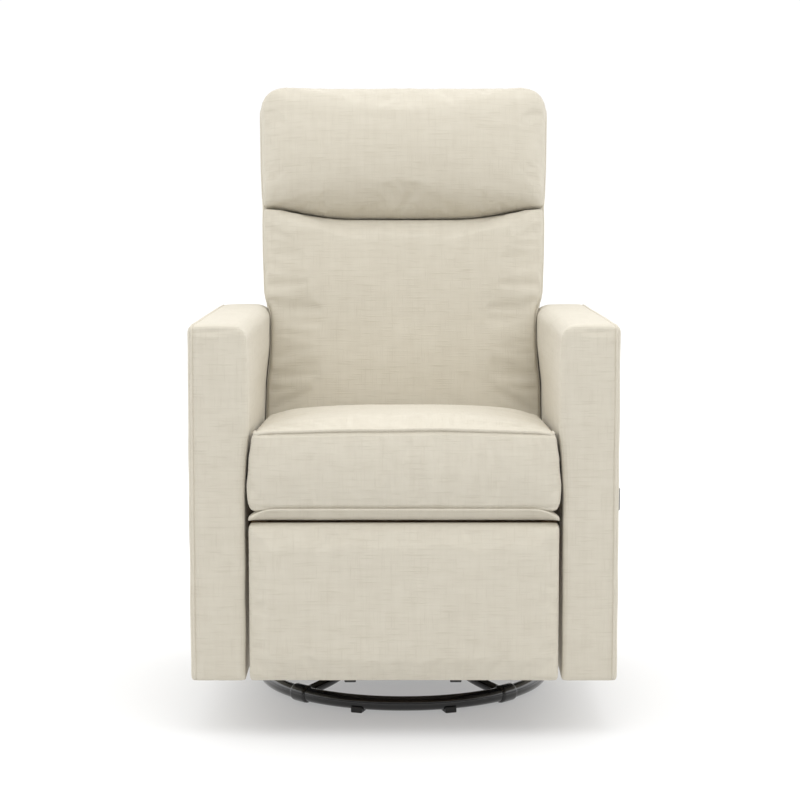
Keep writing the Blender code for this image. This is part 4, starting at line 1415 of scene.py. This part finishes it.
# Two moulded bumpers under the panel's board keep it off the base when it closes.
BUMPER_PLACE = (-0.402, 0.0965)
BUMPER_HALF = (0.0095, 0.007, 0.0035)
BUMPER_ROUND = 0.0015
for side_name, x in (("left", -0.0885), ("right", 0.0855)):
    bumper = soft_box(
        f"footrest_bumper_{side_name}",
        lambda a, b, c: (
            x + a * BUMPER_HALF[0], BUMPER_PLACE[0] + b * BUMPER_HALF[1],
            BUMPER_PLACE[1] + c * BUMPER_HALF[2],
        ),
        {},
        NYLON,
    )
    rounding = bumper.modifiers.new("round_all", "BEVEL")
    rounding.width = BUMPER_ROUND
    rounding.segments = 3
    bake(bumper)
    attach(bumper, "footrest_panel")


# ------------------------------------------------------------------ Release handle
# A moulded finger cup let into the right arm's board, and a paddle hinged at the cup's front edge.
# Both are black plastic with a fine grain; a spring behind the paddle pulls it shut.

ABS = hard_finish(
    "grained_black_plastic", (0.018, 0.018, 0.018), (0.05, 0.05, 0.048), 0.45, 0.6, 1500.0, 0.0001
)
finish_node("handle_cup", ABS)
finish_node("release_handle", ABS)


# ------------------------------------------------------------------ Floor, light and camera
# A white studio sweep that runs out of sight, under a bright ceiling, with a white wall behind,
# bright sides higher up and a dim wall in front. One soft box hangs above, a little to the right.

FRONT_WALL = 0.05
REAR_WALL = 1.02
CEILING = 1.5
SIDE_GLOW = 1.1

floor_mesh = bpy.data.meshes.new("floor")
form = bmesh.new()
bmesh.ops.create_grid(form, x_segments=2, y_segments=2, size=40)
form.to_mesh(floor_mesh)
form.free()
floor_material, floor_tree, floor_shader = new_material("white_sweep")
speckle = add_node(floor_tree, "ShaderNodeTexNoise", {"Scale": 3.0})
floor_color = mix_colors(
    floor_tree, remap(floor_tree, speckle.outputs[0], 0.4, 0.6),
    (0.54, 0.54, 0.54, 1), (0.56, 0.56, 0.56, 1),
)
floor_tree.links.new(floor_color, floor_shader.inputs["Base Color"])
floor_shader.inputs["Roughness"].default_value = 0.9
floor_shader.inputs["Emission Color"].default_value = (1, 1, 1, 1)
floor_shader.inputs["Emission Strength"].default_value = 0.34
floor_shader.inputs["Specular IOR Level"].default_value = 0.1
floor = new_piece("floor", floor_mesh, floor_material)

world = bpy.data.worlds.new("studio")
scene.world = world
world.use_nodes = True
sky = world.node_tree
background = sky.nodes["Background"]
direction = add_node(sky, "ShaderNodeTexCoord").outputs["Generated"]
aim = add_node(sky, "ShaderNodeSeparateXYZ", {0: direction})
walls = remap(sky, aim.outputs[1], -0.6, 0.8, FRONT_WALL, REAR_WALL)
ceiling = remap(sky, aim.outputs[2], 0.05, 0.9)
glow = add_node(sky, "ShaderNodeMix", {0: ceiling, 2: walls, 3: CEILING}, data_type="FLOAT")
sideways = multiply(sky, aim.outputs[0], aim.outputs[0])
sides = multiply(
    sky, remap(sky, sideways, 0.15, 0.8, 0.0, SIDE_GLOW), remap(sky, aim.outputs[2], 0.1, 0.4)
)
sky.links.new(add(sky, glow.outputs[0], sides), background.inputs["Strength"])
background.inputs["Color"].default_value = (1, 1, 1, 1)
scene.view_settings.view_transform = "Standard"


SOFT_BOX_PLACE = Vector((0.3, -1.9, 3.2))
SOFT_BOX_AIM = Vector((0, 0, 0.6))
soft_box_light = bpy.data.lights.new("key", "AREA")
soft_box_light.shape = "SQUARE"
soft_box_light.size = 1.6
soft_box_light.energy = 22
key = bpy.data.objects.new("key", soft_box_light)
key.location = SOFT_BOX_PLACE
key.rotation_euler = (SOFT_BOX_AIM - SOFT_BOX_PLACE).to_track_quat("-Z", "Y").to_euler()
scene.collection.objects.link(key)

CAMERA_TILT = math.radians(6.585)
lens = bpy.data.cameras.new("camera")
lens.sensor_width = 36
lens.lens = 97.1
camera = bpy.data.objects.new("camera", lens)
camera.location = (-0.0064, -3.887, 0.963)
camera.rotation_euler = (math.pi / 2 - CAMERA_TILT, 0, 0)
scene.collection.objects.link(camera)
scene.camera = camera
